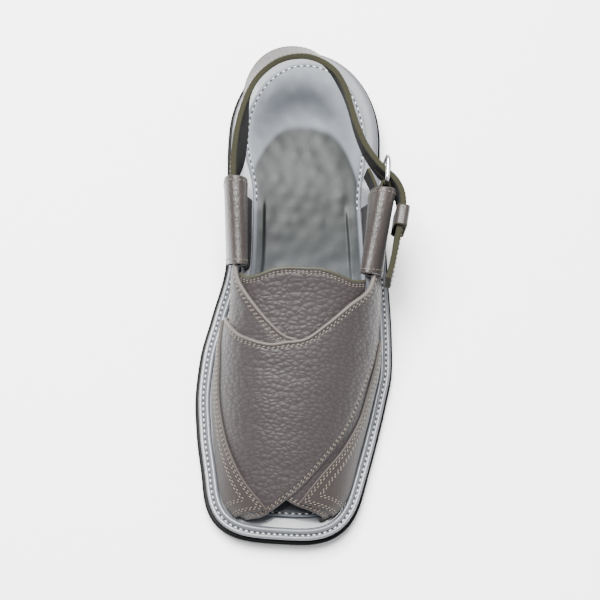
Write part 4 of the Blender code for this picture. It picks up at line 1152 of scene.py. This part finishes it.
def double_grooves(seams, gap):
    """The pulled lines of double seams, given as edges with distances."""
    return [(edge, distance + k * gap) for edge, distance in seams.items() for k in (0, 1)]


def double_rows(p, seams, keep, gap):
    """Both rows of double seams, given as edges with distances. Keep is as in row_line."""
    return [row_line(p, edge, distance, keep) for edge, distance in double_grooves(seams, gap)]


class CHAPPAL_OT_flaps(Maker):
    """The two crossed flaps of the upper, with their folded edges, creases and seams"""
    bl_idname = "chappal.flaps"
    bl_label = "Flaps"

    def make(self):
        z = sizes()
        gap = z.row_gap
        under = patch(UNDER_EDGES, 200, 70)
        troughs = creases(under, [(0.60, -0.30, 0.64, -0.18, 3.0, 0.35), (0.58, -0.45, 0.63, -0.30, 2.5, 0.3)])
        piece = leather_patch("under_flap", under, 0.0, UNDER_FLAP, [look_of("under_leather")],
                              lips=[("rear", 1.2 * MM, 0.35 * MM, 0.75)],
                              grooves=double_grooves({"rear": UNDER_REAR_SEAM, "front": FRONT_SEAM}, gap),
                              drop=troughs)
        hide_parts("upper")
        keep = [("start", 3 * MM)]
        under_rows = double_rows(under, {"rear": UNDER_REAR_SEAM, "front": FRONT_SEAM}, keep, gap)
        over = patch(OVER_EDGES, 230, 96)
        troughs = creases(over, [
            (0.66, -0.55, 0.70, 0.10, 4.0, 0.22), (0.72, -0.50, 0.745, 0.20, 5.0, 0.2),
            (0.78, -0.35, 0.80, 0.30, 4.5, 0.16), (0.67, 0.20, 0.63, 0.50, 3.5, 0.25),
            (0.86, -0.20, 0.87, 0.20, 4.0, 0.15), (0.60, 0.40, 0.66, 0.56, 3.0, 0.2)])
        piece = leather_patch("over_flap", over, OVER_FLAP_SEAT, OVER_FLAP, [look_of("milled_leather")],
                              lips=[("rear", 1.2 * MM, 0.4 * MM, 0.85), ("front", 0.5 * MM, 0.05 * MM, 0.3)],
                              grooves=double_grooves({"rear": REAR_SEAM, "front": FRONT_SEAM}, gap), drop=troughs)
        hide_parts("upper")
        keep = [("start", 6 * MM), ("end", 1.5 * MM)]
        rows = double_rows(over, {"rear": REAR_SEAM, "front": FRONT_SEAM}, keep, gap)
        sew("flap_stitches", rows + under_rows, z.upper_pitch, z.upper_stitch, z.upper_thread,
            look_of("beige_thread"), turn=0.3)


class CHAPPAL_OT_bands(Maker):
    """Smooth bands along both sides of the upper, with their turning seams"""
    bl_idname = "chappal.bands"
    bl_label = "Bands"

    def make(self):
        z = sizes()
        gap = z.row_gap
        seats = {"medial": OVER_FLAP_SEAT + OVER_FLAP + GAP * 0.4, "lateral": UNDER_FLAP + GAP * 0.4}
        seams = []
        for side, edges, inner, outer in (("medial", MEDIAL_BAND_EDGES, "front", "rear"),
                                          ("lateral", LATERAL_BAND_EDGES, "rear", "front")):
            p = patch(edges, 200, 26)
            piece = leather_patch(side + "_band_leather", p, seats[side], BAND, [look_of("smooth_leather")],
                                  lips=[(inner, 0.45 * MM, 0.05 * MM, 0.3), ("end", 0.4 * MM, 0.05 * MM, 0.3)],
                                  grooves=[(inner, BAND_SEAM), ("end", BAND_SEAM)])
            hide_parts(side + "_band")
            for first, last in ((BAND_SEAM, BAND_SEAM), BAND_SECOND_SEAM):
                for k in (0, 1):
                    off = k * gap
                    seams.append(row_line(p, inner, (first + off, last + off),
                                          [("end", last + off), ("start", 2 * MM)]))
                    seams.append(row_line(p, "end", last + off, [(inner, last + off), (outer, 1 * MM)]))
        sew("band_stitches", [s for s in seams if len(s[0]) > 2], z.upper_pitch, z.upper_stitch, z.upper_thread,
            look_of("beige_thread"), turn=0.3)


class CHAPPAL_OT_tongue(Maker):
    """Wavy tongue under the crossed flaps, with its raw rear edge"""
    bl_idname = "chappal.tongue"
    bl_label = "Tongue"

    def make(self):
        z = sizes()
        p = patch(TONGUE_EDGES, 150, 60)
        look = leather("milled_tongue", colours().pebbled, (z.pebble_across * 1.05, z.pebble_along * 1.15),
                       0.23 * MM, 0.48, creased=0.6, light_edge=linear("#2c2b1f"))
        piece = leather_patch("tongue_leather", p, -TONGUE - GAP, TONGUE, [look],
                              lips=[("rear", 1.2 * MM, 0.1 * MM, 1.0)],
                              grooves=double_grooves({"rear": REAR_SEAM}, z.row_gap), rounding=0.8 * MM)
        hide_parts("tongue")
        rows = double_rows(p, {"rear": REAR_SEAM}, [("start", 1 * MM), ("end", 1 * MM)], z.row_gap)
        sew("tongue_stitches", rows, z.upper_pitch * 0.85, z.upper_stitch * 0.85, z.upper_thread * 0.9,
            look_of("beige_thread"), turn=0.2)


def quarter_surface(sleeve, side, share, height, offset):
    """Points of a quarter: share from rear to front, height above the deck, offset across its thickness."""
    rise = height / QUARTER_HEIGHT
    rear = QUARTER_FOOT_REAR + (QUARTER_TOP_REAR - QUARTER_FOOT_REAR) * rise
    front = QUARTER_FOOT_FRONT + (QUARTER_TOP_FRONT - QUARTER_FOOT_FRONT) * rise
    s = rear + (front - rear) * share
    foot_s = QUARTER_FOOT_REAR + (QUARTER_FOOT_FRONT - QUARTER_FOOT_REAR) * share
    foot = side * (half_width(foot_s, side) - QUARTER_INSET)
    low, high = sample(sleeve, "low", share), sample(sleeve, "high", share)
    bend = lambda h: foot + (low - foot) * smooth_step(h, -0.6 * SLEEVE_SLOT_LOW, SLEEVE_SLOT_LOW)
    below = bend(height) + (foot - bend(0.0)) * (1 - height / SLEEVE_SLOT_LOW)
    above = low + (high - low) * (height - SLEEVE_SLOT_LOW) / (QUARTER_HEIGHT - SLEEVE_SLOT_LOW)
    x = np.where(height < SLEEVE_SLOT_LOW, below, above)
    return np.stack([x + offset, HEEL_REST - s, deck(s) + GAP + height], -1)


SLEEVE_LENGTH = 46 * MM
MOUTH_SEAM = 2.4 * MM


class CHAPPAL_OT_quarters(Maker):
    """Both quarters with their sleeves, mouth seams and sewn rings"""
    bl_idname = "chappal.quarters"
    bl_label = "Quarters"

    def make(self):
        z = sizes()
        seams = []
        for side, sleeve, name in ((MEDIAL, MEDIAL_SLEEVE, "medial"), (LATERAL, LATERAL_SLEEVE, "lateral")):
            rise = np.concatenate([np.linspace(0, 0.8, 26), 0.8 + 0.2 * np.sin(np.linspace(0, math.pi / 2, 12))[1:]])
            top = np.clip((rise - 0.8) / 0.2, 0, 1)
            swell = np.where(rise <= 0.8, sample(QUARTER_SECTION, "swell", rise),
                             np.clip(1 - top ** 2.4, 0, 1) ** (1 / 2.4))
            share = np.concatenate([[0, 0.004, 0.012, 0.025], np.linspace(0.05, 0.95, 46), [0.975, 0.988, 0.996, 1]])
            lip = np.minimum(share, 1 - share) * (QUARTER_TOP_FRONT - QUARTER_TOP_REAR)
            worn = 0.45 * MM * (1 - np.sqrt(np.clip(1 - (1 - np.clip(lip / (0.6 * MM), 0, 1)) ** 2, 0, 1)))
            half = sample(sleeve, "half", share)
            blade = QUARTER_BLADE / 2
            spread = blade + (half[:, None] - blade) * swell[None, :]
            spread = np.where(rise[None, :] > 0.8, half[:, None] * swell[None, :], spread)
            spread = np.maximum(spread - worn[:, None], 0.0)
            level = rise[None, :] * (QUARTER_HEIGHT - worn[:, None])
            each = share[:, None] + 0 * level
            outer = quarter_surface(sleeve, side, each, level, spread)
            inner = quarter_surface(sleeve, side, each, level, -spread)
            loop = np.concatenate([outer, inner[:, -2::-1]], 1)
            span = SLEEVE_SLOT_HIGH - SLEEVE_SLOT_LOW
            turn = np.linspace(0, 2 * math.pi, 41)[:-1]
            ring_high = 0.5 - 0.5 * np.sign(np.cos(turn)) * np.abs(np.cos(turn)) ** 0.35
            ring_wide = np.sign(np.sin(turn)) * np.abs(np.sin(turn)) ** 0.35
            flare = worn[:, None] * 0.6
            slot_level = SLEEVE_SLOT_LOW + span * ring_high[None, :]
            slot_off = ring_wide[None, :] * (half[:, None] - SLEEVE_WALL + flare)
            slot = quarter_surface(sleeve, side, share[:, None] + 0 * slot_level, slot_level, slot_off)
            rows, count = loop.shape[:2]
            number = np.arange(rows * count).reshape(rows, count)
            hollow = rows * count + np.arange(rows * len(turn)).reshape(rows, -1)
            faces = quads(np.concatenate([number, number[:, :1]], 1)).tolist()
            faces += quads(np.concatenate([hollow, hollow[:, :1]], 1))[:, ::-1].tolist()
            # The low foot-side face of each quarter takes the near-black leather as painted shade
            kinds = np.zeros((rows - 1, count), int)
            blade_columns = int(np.searchsorted(rise, 0.47))
            kinds[:, np.s_[:blade_columns] if side == MEDIAL else np.s_[-blade_columns:]] = 2
            kinds = kinds.ravel().tolist() + [1] * ((rows - 1) * len(turn))
            points = np.concatenate([loop.reshape(-1, 3), slot.reshape(-1, 3)])
            run = share[:, None] * SLEEVE_LENGTH / MM + 0 * loop[..., 0]
            around = arc_length(loop[10]) / MM
            uv = np.concatenate([np.stack([run, around[None, :] + 0 * run], -1).reshape(-1, 2),
                                 slot.reshape(-1, 3)[:, 1:] / MM])
            piece = add_piece("quarter_" + name + "_leather", points, faces,
                              [look_of("sleeve_leather"), look_of("black_lining"), look_of("painted_shade_leather")],
                              uv=uv, finish_of=kinds)
            work = bmesh.new()
            work.from_mesh(piece.data)
            open_edges = [e for e in work.edges if e.is_boundary]
            for end in (0, rows - 1):
                ours = set(number[end]) | set(hollow[end])
                ring = [e for e in open_edges if all(v.index in ours for v in e.verts)]
                bmesh.ops.triangle_fill(work, use_beauty=True, edges=ring)
            bmesh.ops.recalc_face_normals(work, faces=work.faces)
            work.to_mesh(piece.data)
            work.free()
            piece.data.shade_smooth()
            sharpen(piece, 50)
            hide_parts("quarter_" + name)
            # A seam runs over the sleeve a little inside each mouth
            for place in (MOUTH_SEAM / SLEEVE_LENGTH, 1 - MOUTH_SEAM / SLEEVE_LENGTH):
                way = np.array([[np.interp(place, share, loop[:, j, k]) for k in range(3)]
                                for j in range(12, count - 13)])
                seams.append((way, unit((way - way.mean(0)) * [1, 0, 1])))
            # A ring is sewn low on the outer face
            turns = np.linspace(0, 2 * math.pi, 60)
            level = (17 + 5 * np.sin(turns)) * MM
            across = 0.42 + 0.12 * np.cos(turns)
            way = quarter_surface(sleeve, side, across, level, side * (blade + 0.15 * MM) + 0 * level)
            seams.append((way, np.tile([float(side), 0.0, 0.2], (60, 1))))
        sew("quarter_stitches", seams, z.upper_pitch, z.upper_stitch * 0.9, z.upper_thread, look_of("beige_thread"))


class CHAPPAL_OT_strap(Maker):
    """Heel strap with its raw edges, lining, seams and punched holes"""
    bl_idname = "chappal.strap"
    bl_label = "Heel strap"

    def make(self):
        z = sizes()
        key = np.linspace(0, len(STRAP_ROUTE["row"]) - 1, 340)
        top, down, normal, along = strap_frames(key)
        strap = strip("strap_leather", top, down, normal, STRAP_WIDTH, STRAP,
                      [look_of("strap_leather"), look_of("raw_edge"), look_of("black_lining")])
        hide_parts("heel_strap")
        # The prong's slot, then the punched holes of the free end
        cut_away(strap, box((BUCKLE_X, HEEL_REST - BUCKLE_FRONT + 4.5 * MM, BUCKLE_MIDDLE),
                            (SLOT_DEPTH, STRAP_SLOT, PRONG_SLOT)))
        for s in PUNCHED_HOLES:
            spot, drop, side, ahead = [v[0] for v in strap_frames(np.array([key_at(s)]))]
            bpy.ops.object.select_all(action="DESELECT")
            bpy.ops.mesh.primitive_cylinder_add(vertices=20, radius=HOLE_RADIUS, depth=3 * STRAP,
                                                location=spot + drop * STRAP_WIDTH / 2)
            peg = bpy.context.object
            peg.rotation_mode = "QUATERNION"
            peg.rotation_quaternion = Vector(side).to_track_quat("Z", "Y")
            cut_away(strap, peg)
        sharpen(strap, 45)
        seams = [(top + down * depth + normal * STRAP / 2, normal) for depth in (STRAP_SEAM, STRAP_WIDTH - STRAP_SEAM)]
        sew("strap_stitches", seams, z.upper_pitch, z.upper_stitch, z.upper_thread, look_of("beige_thread"))


class CHAPPAL_OT_keeper(Maker):
    """Leather loop that keeps the strap's free end"""
    bl_idname = "chappal.keeper"
    bl_label = "Keeper"

    def make(self):
        inside = STRAP / 2 + GAP
        rise = GAP + 0.4 * MM
        rounding = 1.1 * MM
        low = STRAP_WIDTH + rise
        corners = []
        for cx, cy, first in ((inside - rounding, -rise + rounding, 0), (-inside + rounding, -rise + rounding, 90),
                              (-inside + rounding, low - rounding, 180), (inside - rounding, low - rounding, 270)):
            for turn in np.radians(np.arange(first, first + 91, 15)):
                corners.append((cx + rounding * math.cos(turn), cy - rounding * math.sin(turn)))
        dense = []
        for a, b in zip(corners, corners[1:] + corners[:1]):
            steps = max(int(math.hypot(b[0] - a[0], b[1] - a[1]) / (1.2 * MM)), 1)
            dense += [(a[0] + (b[0] - a[0]) * k / steps, a[1] + (b[1] - a[1]) * k / steps) for k in range(steps)]
        dense = np.array(dense)
        middle = key_at(KEEPER_START + KEEPER_LENGTH / 2)
        spot, drop, side, ahead = [v[0] for v in strap_frames(np.array([middle]))]
        round_way = unit(np.roll(dense, -1, 0) - np.roll(dense, 1, 0))
        outward = np.column_stack([round_way[:, 1], -round_way[:, 0]])
        if np.sum(outward * (dense - dense.mean(0))) < 0:
            outward = -outward
        shell = dense + outward * KEEPER_WALL / 2
        centre = spot + side * shell[:, :1] + drop * shell[:, 1:]
        normal = side * outward[:, :1] + drop * outward[:, 1:]
        width_way = np.tile(ahead, (len(dense), 1))
        keeper = strip("keeper_leather", centre - width_way * KEEPER_LENGTH / 2, width_way, normal, KEEPER_LENGTH,
                       KEEPER_WALL, [look_of("sleeve_leather"), look_of("raw_edge"), look_of("black_lining")],
                       closed=True, rounding=0.8)
        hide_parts("strap_keeper")


def wire(name, points, radius, closed, node):
    """A chromed wire through points, as a mesh that stands for a node."""
    curve = bpy.data.curves.new(name, "CURVE")
    curve.dimensions = "3D"
    curve.bevel_depth = radius
    curve.bevel_resolution = 6
    curve.use_fill_caps = True
    spline = curve.splines.new("POLY")
    spline.points.add(len(points) - 1)
    for place, point in zip(spline.points, points):
        place.co = (*point, 1.0)
    spline.use_cyclic_u = closed
    made = bpy.data.objects.new(name, curve)
    bpy.context.scene.collection.objects.link(made)
    choose(made)
    bpy.ops.object.convert(target="MESH")
    made = bpy.context.object
    made.data.materials.clear()
    made.data.materials.append(look_of("chromed_wire"))
    made.data.shade_smooth()
    sharpen(made, 60)
    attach(made, "root")
    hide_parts(node)
    return made


class CHAPPAL_OT_buckle(Maker):
    """Wire buckle with its prong and the leather chape that holds it"""
    bl_idname = "chappal.buckle"
    bl_label = "Buckle"

    def make(self):
        half = BUCKLE_OPENING / 2 + BUCKLE_WIRE - BUCKLE_CORNER
        points = []
        corners = ((BUCKLE_FRONT, 1, 0), (BUCKLE_REAR, 1, 90), (BUCKLE_REAR, -1, 180), (BUCKLE_FRONT, -1, 270))
        for s, up, start in corners:
            centre_s = s - BUCKLE_CORNER if s == BUCKLE_FRONT else s + BUCKLE_CORNER
            for turn in np.radians(np.arange(start, start + 91, 10)):
                points.append((BUCKLE_X, HEEL_REST - centre_s - BUCKLE_CORNER * math.cos(turn),
                               BUCKLE_MIDDLE + up * half + BUCKLE_CORNER * math.sin(turn)))
        wire("buckle_wire", points, BUCKLE_WIRE, True, "buckle_frame")
        start_x = BUCKLE_X + BUCKLE_WIRE + PRONG_RADIUS + GAP
        rows = table("key x y", (0, start_x, HEEL_REST - BUCKLE_FRONT - 0.6 * MM),
                     (1, start_x + 0.2 * MM, HEEL_REST - BUCKLE_FRONT + 4 * MM),
                     (2, start_x + 0.2 * MM, HEEL_REST - BUCKLE_REAR),
                     (3, start_x - 0.1 * MM, HEEL_REST - BUCKLE_REAR + 2.4 * MM))
        key = np.linspace(0, 3, 25)
        prong = np.column_stack([route_point(rows, "x", key), route_point(rows, "y", key),
                                 np.full(len(key), BUCKLE_MIDDLE)])
        wire("buckle_pin", prong, PRONG_RADIUS, False, "buckle_prong")
        inner = BUCKLE_WIRE + GAP + CHAPE / 2
        turn = np.linspace(0, math.pi, 25)
        reach = np.linspace(CHAPE_LENGTH, 0, 12)[:-1]
        x = np.concatenate([np.full(len(reach), inner), inner * np.cos(turn), np.full(len(reach), -inner)])
        forward = np.concatenate([reach, -inner * np.sin(turn), reach[::-1]])
        centre = np.column_stack([BUCKLE_X + x, HEEL_REST - BUCKLE_FRONT - forward,
                                  np.full(len(x), BUCKLE_MIDDLE + CHAPE_WIDTH / 2)])
        down, normal = hang(centre)
        middle = np.array([BUCKLE_X, HEEL_REST - BUCKLE_FRONT, BUCKLE_MIDDLE])
        if np.sum(normal * (centre - middle)) < 0:
            normal = -normal
        chape = strip("chape_leather", centre, down, normal, CHAPE_WIDTH, CHAPE,
                      [look_of("strap_leather"), look_of("raw_edge"), look_of("black_lining")])
        cut_away(chape, box((BUCKLE_X, HEEL_REST - BUCKLE_FRONT + 0.5 * MM, BUCKLE_MIDDLE),
                            (SLOT_DEPTH, CHAPE_SLOT, PRONG_SLOT)))
        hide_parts("buckle_chape")


class CHAPPAL_OT_guard(Maker):
    """Leather guard between the buckle and the foot"""
    bl_idname = "chappal.guard"
    bl_label = "Guard"

    def make(self):
        key = np.linspace(0, len(GUARD_ROUTE["row"]) - 1, 50)
        centre = np.column_stack([route_point(GUARD_ROUTE, "x", key) * MM,
                                  HEEL_REST - route_point(GUARD_ROUTE, "s", key) * MM,
                                  np.full(len(key), BUCKLE_MIDDLE + GUARD_WIDTH / 2)])
        down, normal = hang(centre)
        guard = strip("guard_leather", centre, down, normal, GUARD_WIDTH, GUARD,
                      [look_of("black_lining"), look_of("raw_edge"), look_of("strap_leather")])
        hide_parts("buckle_guard")


class CHAPPAL_OT_stage(Maker):
    """Pale floor, soft studio lights and the camera"""
    bl_idname = "chappal.stage"
    bl_label = "Stage"

    def make(self):
        bpy.ops.object.select_all(action="DESELECT")
        bpy.ops.mesh.primitive_plane_add(size=6, location=(0, -0.1, 0))
        floor = bpy.context.object
        floor.name = "floor"
        floor.data.materials.append(plain_finish("studio_paper", colours().floor, 0.9, 0.02 * MM, 2 * MM, drift=0.01))
        world = bpy.data.worlds.new("studio")
        bpy.context.scene.world = world
        world.use_nodes = True
        world.node_tree.nodes["Background"].inputs["Color"].default_value = (0.93, 0.95, 1.0, 1.0)
        world.node_tree.nodes["Background"].inputs["Strength"].default_value = 0.52
        middle = Vector((0.0, -0.11, 0.04))
        for name, place, size, power in (("key", (-0.27, 0.24, 1.32), 0.75, 108.0),
                                         ("fill", (0.7, -0.8, 1.0), 1.0, 5.0),
                                         ("rear", (0.1, 1.0, 0.7), 0.8, 4.0)):
            bpy.ops.object.light_add(type="AREA", location=place)
            lamp = bpy.context.object
            lamp.name = name
            lamp.data.size = size
            lamp.data.energy = power
            lamp.rotation_mode = "QUATERNION"
            lamp.rotation_quaternion = (middle - lamp.location).to_track_quat("-Z", "Y")
        # The camera looks down on the shoe from above its toe
        place = Vector((-0.0480, -0.2862, 0.8151))
        ahead = (Vector((0.003, -0.112, 0.02)) - place).normalized()
        right = ahead.cross(Vector((-0.07334, 0.97049, 0.22972))).normalized()
        turned = Matrix((right, right.cross(ahead), -ahead)).transposed()
        bpy.ops.object.camera_add(location=place)
        camera = bpy.context.object
        camera.rotation_mode = "QUATERNION"
        camera.rotation_quaternion = turned.to_quaternion()
        camera.data.lens = 84
        camera.data.sensor_width = 36
        bpy.context.scene.camera = camera


MAKERS = (CHAPPAL_OT_sole, CHAPPAL_OT_welt, CHAPPAL_OT_insole, CHAPPAL_OT_flaps, CHAPPAL_OT_bands,
          CHAPPAL_OT_tongue, CHAPPAL_OT_quarters, CHAPPAL_OT_strap, CHAPPAL_OT_keeper, CHAPPAL_OT_buckle,
          CHAPPAL_OT_guard, CHAPPAL_OT_stage)


class CHAPPAL_PT_panel(bpy.types.Panel):
    """Lists the shoe's makers, sizes and colours"""
    bl_idname = "CHAPPAL_PT_panel"
    bl_label = "Peshawari chappal"
    bl_space_type = "VIEW_3D"
    bl_region_type = "UI"
    bl_category = "Chappal"

    def draw(self, context):
        for maker in MAKERS:
            self.layout.operator(maker.bl_idname)
        for group in (context.scene.chappal_sizes, context.scene.chappal_colours):
            for name in type(group).__annotations__:
                self.layout.prop(group, name)


CLASSES = (ChappalColours, ChappalSizes) + MAKERS + (CHAPPAL_PT_panel,)


def register():
    for each in CLASSES:
        bpy.utils.register_class(each)
    bpy.types.Scene.chappal_colours = PointerProperty(type=ChappalColours)
    bpy.types.Scene.chappal_sizes = PointerProperty(type=ChappalSizes)


def unregister():
    del bpy.types.Scene.chappal_sizes
    del bpy.types.Scene.chappal_colours
    for each in reversed(CLASSES):
        bpy.utils.unregister_class(each)


def main():
    register()
    for maker in MAKERS:
        group, name = maker.bl_idname.split(".")
        result = getattr(getattr(bpy.ops, group), name)()
        if result != {"FINISHED"}:
            raise RuntimeError(maker.bl_label + " wasn't finished")


if __name__ == "__main__":
    main()
